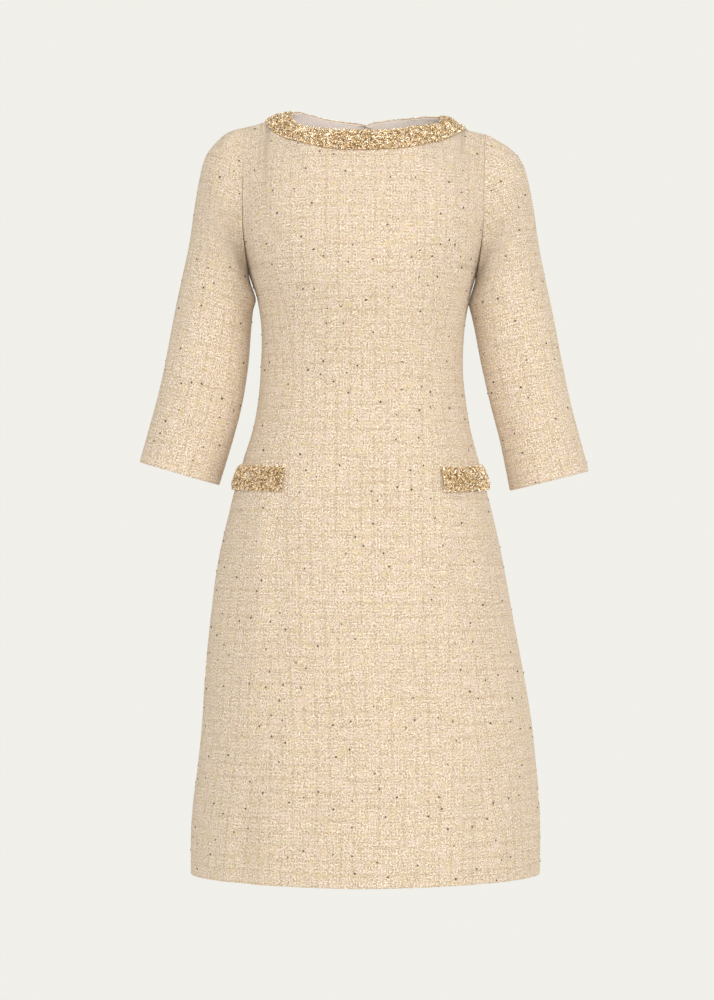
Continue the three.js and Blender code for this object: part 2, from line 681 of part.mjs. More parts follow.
const { slider, pull } = zip;
const zipGroup = groupOnBack(zip.z);
const sliderFace = seamGap + slider.thick; // how far the slider's plate stands out of the cloth
const barY = sliderFace + pull.barrelRadius + pull.play + 0.1;
const barZ = 0.25 * slider.height;
const cheekRoot = sliderFace - 0.2; // the cheeks start a little way inside the plate
const cheekHeight = 2.6;
const cheeks = [-1, 1].map((end) => {
  const reach = barY + slider.barRadius + 0.5 - cheekRoot;
  const cheek = new THREE.BoxGeometry(slider.cheek, reach, cheekHeight);
  return cheek.translate((end * (slider.width - slider.cheek)) / 2, cheekRoot + reach / 2, barZ);
});
const sliderPlate = plateGeometry(slider.width, slider.width, slider.height, slider.thick);
sliderPlate.translate(0, seamGap + slider.thick / 2, slider.height / 2);
const sliderBar = barGeometry(slider.barRadius, slider.width - slider.cheek).translate(0, barY, barZ);
addTo(zipGroup, 'zip_slider', joined([sliderPlate, ...cheeks, sliderBar]), metal(0xc9b27a, 0.35));

// The pull tab hangs from the slider's bar and leans on the cloth.
const pullGroup = new THREE.Group();
pullGroup.position.set(0, barY, barZ);
pullGroup.rotation.x = -pull.lean;
zipGroup.add(pullGroup);
const bore = slider.barRadius + pull.play;
const barrelLength = slider.width - 2 * slider.cheek - 2 * pull.play;
const barrel = barGeometry(pull.barrelRadius, barrelLength, bore);
const tab = plateGeometry(pull.topWidth, pull.endWidth, pull.length, pull.thick, pull.hole);
tab.translate(0, 0, -0.5 * (bore + pull.barrelRadius));
addTo(pullGroup, 'zip_pull', joined([barrel, tab]), metal(0xc9b27a, 0.35));

export default dress;
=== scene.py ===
import math
import random

import bmesh
import bpy
import numpy as np
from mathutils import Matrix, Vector


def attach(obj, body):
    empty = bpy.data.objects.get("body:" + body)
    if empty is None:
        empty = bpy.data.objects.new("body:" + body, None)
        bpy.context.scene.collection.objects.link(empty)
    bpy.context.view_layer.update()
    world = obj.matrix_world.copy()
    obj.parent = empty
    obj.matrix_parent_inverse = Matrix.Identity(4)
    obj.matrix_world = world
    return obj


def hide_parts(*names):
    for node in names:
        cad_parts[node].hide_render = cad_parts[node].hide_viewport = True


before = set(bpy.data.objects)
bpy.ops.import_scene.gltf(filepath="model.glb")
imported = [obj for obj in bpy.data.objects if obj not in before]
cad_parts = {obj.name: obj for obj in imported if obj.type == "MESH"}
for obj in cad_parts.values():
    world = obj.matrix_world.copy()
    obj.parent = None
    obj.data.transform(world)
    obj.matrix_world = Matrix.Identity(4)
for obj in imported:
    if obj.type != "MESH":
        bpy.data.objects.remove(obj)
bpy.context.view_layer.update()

mm = 0.001


# the shader helper every material, the world and the floor use
def addNode(tree, kind, inputs=None, **settings):
    # an input is given a value, or the socket of another node to be joined to
    node = tree.nodes.new("ShaderNode" + kind)
    for key, value in settings.items():
        setattr(node, key, value)
    for key, value in (inputs or {}).items():
        if isinstance(value, bpy.types.NodeSocket):
            tree.links.new(value, node.inputs[key])
        else:
            node.inputs[key].default_value = value
    return node


def deselectAll():
    bpy.ops.object.select_all(action="DESELECT")


# camera, lamps, world and floor
studio = {
    "cameraPlace": (-0.0076, -3.8, -0.4953),
    "lens": 107.7,
    "sensor": 36,
    "farthest": 60,
    "lamps": {  # place, width of the disk in metres, power in watts
        "key": ((2.6, -2.2, 0.6), 1.5, 45),
        "fill": ((0.15, -3.75, -0.1), 1.2, 46),
        "side": ((-2.0, -2.0, 0.7), 1.4, 22),
        "back": ((0.6, 3.0, 0.8), 2.4, 60),
    },
    "lampTint": (1.0, 0.977, 0.955),
    "aim": (0, 0, -0.45),
    "ambient": 0.64,
    "ambientTint": (1.0, 0.985, 0.955, 1),
    "backdrop": (0.876, 0.868, 0.820, 1),
    "floorHeight": -1.46,
    "floorRadius": 1.5,
    "floorFade": (0.5, 1.45),  # the floor turns into the backdrop between these distances
    "floorTint": (0.86, 0.85, 0.81, 1),
}


def makeCamera():
    bpy.ops.object.camera_add(location=studio["cameraPlace"], rotation=(math.pi / 2, 0, 0))
    camera = bpy.context.object
    camera.name = "studioCamera"
    camera.data.lens = studio["lens"]
    camera.data.sensor_width = studio["sensor"]
    camera.data.clip_end = studio["farthest"]
    bpy.context.scene.camera = camera


def makeLamp(name, place, size, power):
    bpy.ops.object.light_add(type="AREA", location=place)
    lamp = bpy.context.object
    lamp.name = name
    lamp.data.shape = "DISK"
    lamp.data.size = size
    lamp.data.energy = power
    lamp.data.color = studio["lampTint"]
    direction = Vector(studio["aim"]) - lamp.location
    lamp.rotation_euler = direction.to_track_quat("-Z", "Y").to_euler()


def emptyTree(thing):
    thing.use_nodes = True
    thing.node_tree.nodes.clear()
    return thing.node_tree


def blendOut(tree, kind, share, near, far):
    # the world and the floor each end in a blend of two shaders
    mix = addNode(tree, "MixShader", {"Fac": share, 1: near.outputs[0], 2: far.outputs[0]})
    addNode(tree, kind, {"Surface": mix.outputs[0]})


def makeWorld():
    # the camera sees the backdrop's own colour, whatever light the room gives
    world = bpy.data.worlds.new("paleRoom")
    bpy.context.scene.world = world
    tree = emptyTree(world)
    lighting = addNode(tree, "Background", {"Color": studio["ambientTint"], "Strength": studio["ambient"]})
    seen = addNode(tree, "Background", {"Color": studio["backdrop"]})
    blendOut(tree, "OutputWorld", addNode(tree, "LightPath").outputs["Is Camera Ray"], lighting, seen)


def makeFloor():
    deselectAll()
    bpy.ops.mesh.primitive_circle_add(vertices=96, radius=studio["floorRadius"], fill_type="NGON",
                                      location=(0, 0, studio["floorHeight"]))
    floor = bpy.context.object
    floor.name = "studioFloor"
    material = bpy.data.materials.new("paleFloor")
    tree = emptyTree(material)
    place = addNode(tree, "TexCoord").outputs["Object"]
    distance = addNode(tree, "VectorMath", {0: place}, operation="LENGTH").outputs["Value"]
    near, far = studio["floorFade"]
    share = addNode(tree, "MapRange", {"Value": distance, "From Min": near, "From Max": far})
    matte = addNode(tree, "BsdfDiffuse", {"Color": studio["floorTint"]})
    glow = addNode(tree, "Emission", {"Color": studio["backdrop"]})
    blendOut(tree, "OutputMaterial", share.outputs["Result"], matte, glow)
    floor.data.materials.append(material)


makeCamera()
for name, (place, size, power) in studio["lamps"].items():
    makeLamp(name + "Light", place, size, power)
makeWorld()
makeFloor()
bpy.context.scene.view_settings.view_transform = "Standard"
print("studio set")


# the form of the dress in millimetres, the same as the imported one
form = {
    "hem": -970,
    "underarm": -207,
    "capHeight": 100,
    "neck": {"half": 95, "front": 85, "back": 65, "frontPower": 2.8, "backPower": 2.1},
    "band": {"half": 126, "front": 99, "back": 82, "frontPower": 2.1, "backPower": 2.1},
    "notchHalf": 10,
    "notchDepth": 1.7,
    "topLevel": -30,
    "armholeTop": -24,
    "lowestTop": -150.0,
    "halvings": 34,
}


underarm = form["underarm"]


def makeTable(names, rows):
    # a table read by column name, kept in rising order of its first column
    return dict(zip(names.split(), np.array(sorted(rows), float).T))


bodyTable = makeTable("z half front back power lean", [
    (60, 168, 58, 56, 2.2, 3.5),
    (0, 168, 73, 70, 2.2, 3.5),
    (-32, 168, 86, 83, 2.2, 3.5),
    (-60, 168, 99, 94, 2.2, 1.5),
    (-95, 168, 112, 103, 2.2, 0.5),
    (-130, 166, 123, 109, 2.2, 0),
    (-165, 158, 131, 110, 2.2, 0),
    (-190, 150.5, 133, 108, 2.15, 0),
    (-215, 142.5, 131, 104, 2.1, -0.5),
    (-241, 134.6, 124, 98, 2.1, 0.4),
    (-280, 128.4, 112, 89, 2.1, 0.1),
    (-330, 127.9, 101, 83, 2.1, -1.4),
    (-365, 130.8, 100, 87, 2.1, -1.3),
    (-406, 137.7, 105, 99, 2.15, -1.7),
    (-445, 149, 112, 113, 2.2, -2.5),
    (-495, 163, 119, 124, 2.2, -3),
    (-560, 178, 124, 131, 2.15, -3),
    (-622, 188.5, 128, 134, 2.1, -2),
    (-724, 202.5, 136, 138, 2.0, 2),
    (-775, 208.5, 140, 140, 1.95, 4.5),
    (-825, 214, 144, 143, 1.9, 5),
    (-900, 221, 149, 146, 1.8, 3.5),
    (-980, 221.5, 152, 148, 1.7, 3),
])
ridgeTable = makeTable("x z", [
    (0, 46), (40, 43), (60, 34), (75, 18), (86, 5), (95, -2), (110, -6.8),
    (120, -12), (128, -16.6), (140, -20.3), (152, -22.5), (175, -27),
])
tiltTable = makeTable("x drop", [
    (-150, 0), (-120, 0.9), (-100, 1.9), (0, 3.5), (100, 4.6), (120, 6.2), (150, 7),
])
settleTable = makeTable("x bandFront bandBack neckFront neckBack", [
    (-126, 1.15, 0.65, 1.08, 0.6), (-118, 1.06, 0.65, 1.08, 0.6), (-110, 0.985, 0.65, 1.08, 0.6),
    (-95, 0.972, 0.75, 1.08, 0.62), (-87, 0.995, 0.84, 1.035, 0.74), (-78, 1.03, 0.925, 1.022, 0.9),
    (-68, 1.043, 0.975, 1.02, 0.985), (-55, 1.04, 0.993, 1.012, 1.015), (-38, 1.025, 0.999, 1.005, 0.998),
    (-20, 1.012, 0.998, 1, 0.99), (0, 1.005, 1.005, 1.003, 0.985), (20, 1.006, 0.985, 1, 0.965),
    (38, 1.018, 0.978, 0.995, 0.965), (55, 1.028, 0.962, 0.972, 0.965), (68, 1.018, 0.922, 0.935, 0.9),
    (78, 0.975, 0.853, 0.885, 0.755), (87, 0.935, 0.777, 0.872, 0.6), (95, 0.915, 0.715, 1.1, 0.45),
    (110, 0.89, 0.655, 1.1, 0.45), (118, 0.85, 0.62, 1.1, 0.45), (126, 0.78, 0.6, 1.1, 0.45),
])
princessTable = makeTable("z x", [
    (0, 120), (-100, 120), (-150, 118), (-190, 111), (-250, 97), (-330, 84),
    (-380, 85), (-475, 98), (-650, 112), (-850, 130), (-980, 146),
])
armholeTable = makeTable("z x", [
    (0, 152.5), (-24, 152), (-60, 150.5), (-120, 149.5), (-165, 149), (-190, 147.5),
])
sleeveTable = makeTable("ring inX inZ outX outZ front back slim fall", [
    (1, 145.4, -211, 169.5, -28, 58, 53, -2.4, 8),
    (2, 144.1, -215, 187, -42, 58, 54, -2.1, 5.7),
    (3, 142.9, -219, 200, -60, 57.5, 54.5, -2.1, 4.7),
    (4, 141.4, -224, 207.5, -88, 57, 55, -2.2, 2),
    (5, 138.6, -231, 213.3, -122, 56, 55, -1.7, 0.5),
    (6, 136, -242, 219.5, -165, 54.5, 55, -1.2, 0),
    (7, 139.6, -256, 227.3, -204, 52.5, 54, -1.4, 0),
    (8, 142.4, -283, 237.2, -250, 50, 50, 1.5, 0),
    (9, 145.8, -325, 248, -305, 47, 44, 6.3, 0),
    (10, 153, -370, 258.7, -356, 46, 38, 9.8, 0.5),
    (11, 164.5, -415, 270.7, -402, 47, 31, 10, 1.5),
    (12, 182.5, -476.5, 283.5, -447.2, 49, 24, 4.3, 4.3),
])


def readTable(table, t, column):
    # one column's value where the first column is t, on a smooth curve through the rows
    keys, values = next(iter(table.values())), table[column]
    nearKeys, nearValues = np.pad(keys, 1, "edge"), np.pad(values, 1, "edge")
    slopes = (nearValues[2:] - nearValues[:-2]) / (nearKeys[2:] - nearKeys[:-2])
    i = np.clip(np.searchsorted(keys, t, side="right") - 1, 0, len(keys) - 2)
    span = keys[i + 1] - keys[i]
    s = np.clip((t - keys[i]) / span, 0, 1)
    return (values[i] * (1 + 2 * s) * (1 - s) ** 2 + values[i + 1] * s * s * (3 - 2 * s)
            + span * slopes[i] * s * (1 - s) ** 2 + span * slopes[i + 1] * s * s * (s - 1))


def unit(vectors):
    return vectors / np.maximum(np.linalg.norm(vectors, axis=-1, keepdims=True), 1e-9)


def smoothStep(t):
    t = np.clip(t, 0, 1)
    return t * t * (3 - 2 * t)


outward = {"front": -1, "back": 1}  # which way y runs out of the dress on each side


def bodyValue(z, column):
    return readTable(bodyTable, z, column)


def ridgeHeight(x):
    return readTable(ridgeTable, np.abs(x), "z") - readTable(tiltTable, x, "drop")


def depthSquared(x, z, side):
    fromCentre = np.abs(x - bodyValue(z, "lean")) / bodyValue(z, "half")
    power = bodyValue(z, "power")
    inside = 1 - fromCentre ** power
    roundness = np.sign(inside) * np.abs(inside) ** (2 / power)
    below = (ridgeHeight(x) - z) / form["capHeight"]
    cap = np.where(below < 1, 2 * below - below * below, 1)
    return bodyValue(z, side) ** 2 * roundness * cap


def bodyPoints(x, z, side):
    depth = np.sqrt(np.maximum(0, depthSquared(x, z, side)))
    return np.stack([x + 0 * z, outward[side] * depth, z + 0 * x], axis=-1)


def bodyNormals(points, side):
    x, y, z = np.moveaxis(points, -1, 0)
    slopeX = depthSquared(x + 1, z, side) - depthSquared(x - 1, z, side)
    slopeZ = depthSquared(x, z + 1, side) - depthSquared(x, z - 1, side)
    return unit(np.stack([-slopeX, 4 * y, -slopeZ], axis=-1))


def heightOver(x, y, side):
    # the level at which the form is y deep, found by halving
    high, low = ridgeHeight(x), np.full(np.shape(x), form["lowestTop"])
    for _ in range(form["halvings"]):
        z = (high + low) / 2
        above = depthSquared(x, z, side) < y * y
        high, low = np.where(above, z, high), np.where(above, low, z)
    return low


def planDepth(edge, fromCentre, side):
    # how far the band's lower edge, or the neck edge, stands in front of or behind the shoulder line
    curve = form[edge]
    power = curve[side + "Power"]
    share = np.maximum(0, 1 - np.abs(fromCentre / curve["half"]) ** power) ** (1 / power)
    depth = curve[side] * share * readTable(settleTable, fromCentre, edge + side.title())
    if (edge, side) != ("neck", "back"):
        return depth
    return depth + form["notchDepth"] * np.maximum(0, 1 - np.abs(fromCentre) / form["notchHalf"])


def topHeight(x, side):
    # top edge of the panels: the band's lower edge, then the shoulder seam
    fromCentre = x - bodyValue(0, "lean")
    under = heightOver(x, planDepth("band", fromCentre, side), side)
    return np.where(np.abs(fromCentre) >= form["band"]["half"], ridgeHeight(x), under)


def armholeTop(hand):
    return ridgeHeight(hand * readTable(armholeTable, form["armholeTop"], "x"))


def edgeAngle(z):
    # where the armhole seam, and below it the side seam, stands round the section
    z = np.asarray(z, float)
    half = bodyValue(z, "half")
    lowest = armholeTable["z"][0]
    toUnderarm = armholeTable["x"][0] + (z - lowest) / (underarm - lowest) * (
        bodyValue(underarm, "half") - armholeTable["x"][0])
    seam = np.where(z < lowest, toUnderarm, readTable(armholeTable, z, "x"))
    seam = np.minimum(seam, half)
    angle = np.arcsin(np.clip(seam / half, 0, 1) ** (bodyValue(z, "power") / 2))
    return np.where(z <= underarm, math.pi / 2, angle)


def acrossBody(u, z):
    # distance from the centre: u is 0 at the centre, 1 at the princess seam, 2 at the armhole or side seam
    princess = readTable(princessTable, z, "x")
    half, power = bodyValue(z, "half"), bodyValue(z, "power")
    start = np.arcsin((princess / half) ** (power / 2))
    angle = start + (edgeAngle(z) - start) * np.maximum(0, u - 1)
    return np.where(u <= 1, u * princess, half * np.sin(angle) ** (2 / power))


def columnAt(distance):
    # u of the column whose top end stands this far from the centre
    level = form["topLevel"]
    princess = readTable(princessTable, level, "x")
    half, power = bodyValue(level, "half"), bodyValue(level, "power")
    angle = np.arcsin((np.array([distance, princess]) / half) ** (power / 2))
    if distance <= princess:
        return float(distance / princess)
    return float(1 + (angle[0] - angle[1]) / (edgeAngle(level) - angle[1]))


# creases, listed one by one: both ends as x and z in millimetres, half width, depth (a ridge above 0), bow
# sideways
creases = {
    "front": [
        (-136, -128, -112, -148, 5.0, -1.5, 2), (-137, -146, -108, -170, 6.0, -1.9, 3),
        (-134, -168, -112, -196, 5.5, -1.2, -2), (136, -140, 114, -160, 5.5, -1.3, 2),
        (134, -164, 108, -192, 6.5, -1.1, 3), (-131, -236, -100, -262, 9, -1.3, 3),
        (127, -250, 94, -282, 10, -1.1, -4), (-60, -226, -34, -236, 13, -0.7, 2),
        (-124, -318, -84, -330, 8, -1.2, 2), (-126, -342, -96, -349, 6, -0.9, -2),
        (122, -322, 78, -336, 9, -1.1, -3), (124, -352, 98, -356, 6, -0.7, 2),
        (-98, -484, -118, -556, 9, -2.0, 4), (-128, -488, -126, -700, 13, 1.5, 3),
        (-106, -560, -104, -720, 12, -1.1, -4), (-158, -560, -172, -760, 15, -1.2, 4),
        (120, -486, 131, -640, 11, -1.4, -3), (100, -500, 108, -690, 14, 1.2, 2),
        (156, -590, 174, -800, 15, -1.1, -4), (-147, -860, -151, -975, 12, -2.4, 2),
        (-118, -880, -124, -975, 16, 1.2, 0), (-64, -800, -70, -975, 20, -1.0, 3),
        (34, -760, 42, -975, 22, -1.0, -4), (142, -840, 148, -975, 12, -2.2, -2),
        (112, -860, 116, -975, 15, 1.1, 0), (-20, -560, -26, -720, 22, 0.7, 4),
        (58, -120, 34, -156, 16, -0.7, 3), (-62, -112, -40, -152, 16, -0.7, -3),
    ],
    "back": [
        (-132, -136, -104, -164, 6, -1.7, 3), (-134, -158, -100, -196, 7, -1.3, 4),
        (131, -140, 106, -172, 6, -1.6, -3), (133, -166, 102, -200, 7.5, -1.2, 3),
        (-108, -296, -30, -316, 10, -1.7, 4), (-98, -328, -22, -338, 8, -1.5, -3),
        (-104, -356, -46, -362, 7, -1.1, 2), (106, -300, 28, -322, 10, -1.6, -4),
        (96, -334, 34, -346, 8, -1.4, 3), (100, -366, 52, -370, 7, -0.9, 2),
        (-60, -470, -84, -660, 15, -1.2, 5), (70, -480, 92, -680, 15, -1.3, -5),
        (-128, -620, -142, -975, 17, -1.8, 4), (-36, -700, -46, -975, 20, -1.5, -4),
        (44, -720, 52, -975, 19, -1.4, 4), (132, -640, 146, -975, 16, -1.7, -4),
        (-88, -760, -96, -975, 18, 1.3, 0), (92, -780, 100, -975, 18, 1.2, 0),
    ],
}
sleeveCreases = {
    "front": [
        (-197, -152, -167, -200, 5.5, -1.9, 3), (-205, -190, -176, -226, 6, -1.1, 3),
        (-150, -236, -196, -262, 7, -1.5, -3), (-143, -290, -226, -302, 8, -1.7, 4),
        (-147, -312, -232, -326, 7, -1.3, -3), (-168, -372, -210, -356, 8, -0.9, 3),
        (-222, -380, -214, -446, 12, -0.8, 2), (-166, -60, -188, -96, 9, -0.8, 3),
        (196, -158, 168, -206, 6, -1.6, -3), (152, -244, 200, -268, 7, -1.4, 3),
        (148, -300, 232, -316, 8, -1.5, -4), (152, -326, 238, -336, 7, -1.2, 3),
        (176, -384, 222, -372, 8, -0.9, -3), (230, -396, 224, -462, 12, -0.8, -2),
        (168, -66, 190, -104, 9, -0.7, -3),
    ],
    "back": [
        (-194, -140, -160, -186, 6.5, -1.9, -3), (-150, -240, -206, -268, 7, -1.6, 3),
        (-140, -286, -232, -292, 9, -2.0, 4), (-146, -310, -236, -318, 8, -1.6, -3),
        (-152, -340, -226, -342, 7, -1.2, 3), (196, -146, 162, -192, 6.5, -1.8, 3),
        (150, -248, 208, -274, 7, -1.5, -3), (148, -296, 238, -304, 9, -1.9, -4),
        (152, -322, 242, -332, 8, -1.5, 3), (160, -352, 232, -354, 7, -1.1, -3),
    ],
}


creaseShape = {
    "turnAway": 22,  # nearer the dress's side than this it fades out
    "pastEnd": 0.18,  # it runs past each end by this share of its length
    "growth": 0.45,  # and comes to its full depth over this share
    "shoulder": (1.9, 0.32),  # the low ridge on each side: how many half widths away, and its share of depth
}


def creaseOffsets(points, table):
    x, y, z = np.moveaxis(points, -1, 0)
    total = np.zeros(x.shape)
    pastEnd, growth = creaseShape["pastEnd"], creaseShape["growth"]
    ridgeAt, ridgeShare = creaseShape["shoulder"]
    for side, rows in table.items():
        facing = smoothStep(outward[side] * y / creaseShape["turnAway"])
        for startX, startZ, endX, endZ, width, depth, bow in rows:
            line = np.array([endX - startX, endZ - startZ], float)
            length = np.hypot(*line)
            line /= length
            along = ((x - startX) * line[0] + (z - startZ) * line[1]) / length
            bent = bow * np.sin(np.pi * np.clip(along, 0, 1))
            off = (x - startX) * -line[1] + (z - startZ) * line[0] - bent
            soft = smoothStep((along + pastEnd) / growth) * smoothStep((1 + pastEnd - along) / growth)
            trough = np.exp(-(off / width) ** 2)
            shoulders = np.exp(-((np.abs(off) - ridgeAt * width) / width) ** 2)
            total += depth * soft * (trough - ridgeShare * shoulders) * facing
    return total


def swayOffsets(points):
    # the slow unevenness of cloth that hangs on nothing
    x, y, z = np.moveaxis(points, -1, 0)
    turn = np.where(y < 0, 0.0, 2.1)
    return (0.45 * np.sin(x / 27 + z / 61 + turn) + 0.35 * np.sin(z / 38 - x / 52 + 1.3 * turn)
            + 0.25 * np.sin(x / 14.5 - z / 120 + 0.7 + turn))


def arcLengths(points, axis):
    steps = np.linalg.norm(np.diff(points, axis=axis), axis=-1)
    start = np.zeros_like(np.take(steps, [0], axis=axis))
    return np.cumsum(np.concatenate([start, steps], axis=axis), axis=axis)


def rollIn(points, *edges):
    # cloth turns down into its seams and hems: a depth and a width for first, last, bottom and top edge
    around, up = arcLengths(points, 1), arcLengths(points, 0)
    total = np.zeros(points.shape[:2])
    for distance, (depth, width) in zip((around, around[:, -1:] - around, up, up[-1:] - up), edges):
        total -= depth * np.clip(1 - distance / width, 0, 1) ** 2
    return total


def edgeColumns(start, end, count, firstFine=True, lastFine=True):
    # evenly spaced, with a few close together at the seams
    values = np.linspace(start, end, count + 1)
    cell = (end - start) / count
    close = np.array([0.1, 0.22, 0.4]) * cell
    parts = [values]
    if firstFine:
        parts.append(start + close)
    if lastFine:
        parts.append(end - close)
    return np.unique(np.round(np.concatenate(parts), 7))


def makeObject(name, points, faces, uv=None, smoothAngle=50):
    # points in millimetres
    mesh = bpy.data.meshes.new(name)
    mesh.from_pydata(points * mm, [], faces)
    if uv is not None:
        layer = mesh.uv_layers.new(name="grain")
        layer.data.foreach_set("uv", (uv * mm)[faces.ravel()].astype(np.float32).ravel())
    thing = bpy.data.objects.new(name, mesh)
    bpy.context.scene.collection.objects.link(thing)
    deselectAll()
    thing.select_set(True)
    bpy.context.view_layer.objects.active = thing
    bpy.ops.object.shade_smooth_by_angle(angle=math.radians(smoothAngle))
    return thing


def plainName(node):
    # the piece's own name, made from the name of the solid it stands for
    first, *others = node.split("_")
    return first + "".join(word.title() for word in others)


pieces = {}


def layCloth(node, points, normals, high, low, grain):
    # a closed wall of cloth on a grid of points, its faces at two distances along the normals
    outer, inner = (points + normals * np.asarray(at)[..., None] for at in (high, low))
    rows, columns = outer.shape[:2]
    shift = rows * columns
    index = np.arange(shift).reshape(rows, columns)
    back = index + shift
    a, b, c, d = index[:-1, :-1], index[:-1, 1:], index[1:, 1:], index[1:, :-1]
    quads = [np.stack([a, b, c, d], -1).reshape(-1, 4), np.stack([a, d, c, b], -1).reshape(-1, 4) + shift]
    for edge, other, forward in ((index[0], back[0], True), (index[-1], back[-1], False),
                                 (index[:, 0], back[:, 0], False), (index[:, -1], back[:, -1], True)):
        pair = (edge[1:], edge[:-1], other[:-1], other[1:])
        if not forward:
            pair = (edge[:-1], edge[1:], other[1:], other[:-1])
        quads.append(np.stack(pair, -1))
    faces = np.concatenate(quads)
    i, j = rows // 2, columns // 2
    facing = np.cross(outer[i, j + 1] - outer[i, j], outer[i + 1, j] - outer[i, j]) @ normals[i, j]
    if facing < 0:
        faces = faces[:, ::-1]
    points = np.concatenate([outer.reshape(-1, 3), inner.reshape(-1, 3)])
    uv = np.concatenate([grain.reshape(-1, 2)] * 2)
    pieces[node] = makeObject(plainName(node), points, faces, uv)


# the panels' fine grids, in millimetres; each edge has the depth and the width of its turn inwards
cloth = {
    "thick": 1.9,
    "rowStep": 4.4,
    "chestRows": 52,
    "centreCells": 58,
    "outerCells": 27,
    "backExtraCells": 10,
    "hemSteps": np.array([0.5, 1.2, 2.4]),  # rows close to a hem or cuff, so that it turns over crisply
    "topSteps": (0.011, 0.005),  # rows close to the top edge, as shares of the way down to the underarm
    "topBlend": 5,  # within this of the top edge the columns bend towards their own top ends
    "seam": (0.4, 1.5),
    "armholeSeam": (0.1, 1.0),
    "zipSeam": (0.8, 2.4),
    "hemEdge": (0.9, 1.8),
    "topEdge": (1.3, 2.0),
    "grainStart": {"front": 187, "back": 940, "sleeve": 1650},  # each is cut from its own place in the cloth
}
hands = {"left": 1, "right": -1}


def panelRows(columns, side, hand, down=None):
    # down is 1 at the underarm and 0 at the top edge; without it the whole panel is made from the hem
    u = np.abs(columns)
    columnHands = np.where(columns < 0, -hand, hand)
    topX = bodyValue(0, "lean") + columnHands * acrossBody(u, form["topLevel"])
    top = topHeight(topX, side)
    below = np.zeros((0, len(columns)))
    if down is None:
        count = round((underarm - form["hem"]) / cloth["rowStep"])
        levels = np.linspace(form["hem"], underarm, count + 1)[:-1]
        levels = np.insert(levels, 1, levels[0] + cloth["hemSteps"])
        below = np.repeat(levels[:, None], len(columns), axis=1)
        down = np.linspace(1, 0, cloth["chestRows"] + 1)
        down = np.insert(down, -1, cloth["topSteps"])
    above = top + (underarm - top) * (1 - np.cos(down[:, None] * math.pi / 2))
    z = np.concatenate([below, above])
    x = bodyValue(z, "lean") + columnHands * acrossBody(u, z)
    nearTop = np.clip(1 - (top - z) / cloth["topBlend"], 0, 1)
    x = x + (topX - x) * nearTop
    return bodyPoints(x, z, side), len(below)


def grainMap(points, grainColumn=None, levelRows=None, hand=1, start=0.0):
    # the weave follows the piece's own grain line; in a panel it lies level up to the underarm
    around, up = arcLengths(points, 1), arcLengths(points, 0)
    if grainColumn is None:
        grainColumn = points.shape[1] // 2
    u = around - around[:, [grainColumn]]
    v = np.repeat(up[:, [grainColumn]], points.shape[1], axis=1)
    if levelRows is not None:
        v[levelRows:] = v[levelRows:levelRows + 1] + up[levelRows:] - up[levelRows:levelRows + 1]
    return np.stack([hand * u + start, v], -1)


def makePanel(node, columns, hand, firstEdge, lastEdge, grainShare):
    side = "back" if node.startswith("back") else "front"
    points, levelRows = panelRows(columns, side, hand)
    normals = bodyNormals(points, side)
    base = points + normals * (creaseOffsets(points, creases) + swayOffsets(points))[..., None]
    if columns[-1] == 2:
        base = base + easeBody(points, side, hand)
    sunk = rollIn(points, firstEdge, lastEdge, cloth["hemEdge"], cloth["topEdge"])
    start = cloth["grainStart"][side] * hand * (columns[0] == 1)
    grain = grainMap(points, round(grainShare * (len(columns) - 1)), levelRows, hand, start)
    if side == "back":
        grain = grain * [-1, 1] + [cloth["grainStart"][side], 0]
    layCloth(node, base, normals, sunk, -cloth["thick"], grain)


# the sleeves
sleeveCut = {
    "power": 2.1,
    "leftDrop": (4, 7),  # the left sleeve hangs lower by this at its top and at its cuff
    "leftOut": 3.2,
    "cells": 100,
    "underSeam": (0.8, 2.2),
    "cuffEdge": (0.9, 1.8),
    "crisp": 14,  # its creases begin this far below the armhole
    "reach": 13,  # the hollow where sleeve meets body is eased over this distance
    "mostEase": 4.2,
    "easeFrom": 8,  # on the body it grows over this distance above the underarm
    "easeAngles": (80, 145, 55),  # the sharpest corner allowed for, where easing ends, and its fading
    "easeRow": 5,  # the row whose direction stands for the sleeve's
    "easeRounds": 12,
    "sway": 0.6,
}


def armholePoints(angle, hand):
    side = "front" if angle <= math.pi else "back"
    z = underarm + (armholeTop(hand) - underarm) * (1 - math.cos(angle)) / 2
    half = bodyValue(z, "half") * np.sin(edgeAngle(z)) ** (2 / bodyValue(z, "power"))
    x = bodyValue(z, "lean") + hand * half
    return bodyPoints(np.asarray(x), np.asarray(z), side)


def sleeveRings(angles, hand):
    rings = [np.array([armholePoints(angle % (2 * math.pi), hand) for angle in angles])]
    count = len(sleeveTable["ring"])
    power = 2 / sleeveCut["power"]
    share = 0.5 - 0.5 * np.sign(np.cos(angles)) * np.abs(np.cos(angles)) ** power
    reach = np.abs(np.sin(angles)) ** power
    isLeft = 1 if hand > 0 else 0
    dropTop, dropCuff = sleeveCut["leftDrop"]
    for i in range(count):
        row = {key: values[i] for key, values in sleeveTable.items()}
        drop = isLeft * (dropTop + (dropCuff - dropTop) * (i + 1) / count + row["fall"] * share)
        innerX = row["inX"] + isLeft * row["slim"]
        outerX = row["outX"] + isLeft * sleeveCut["leftOut"]
        x = hand * (innerX + (outerX - innerX) * share)
        y = np.where(np.sin(angles) >= 0, -row["front"], row["back"]) * reach
        z = row["inZ"] + (row["outZ"] - row["inZ"]) * share - drop
        rings.append(np.stack([x, y, z], -1))
    return np.array(rings)


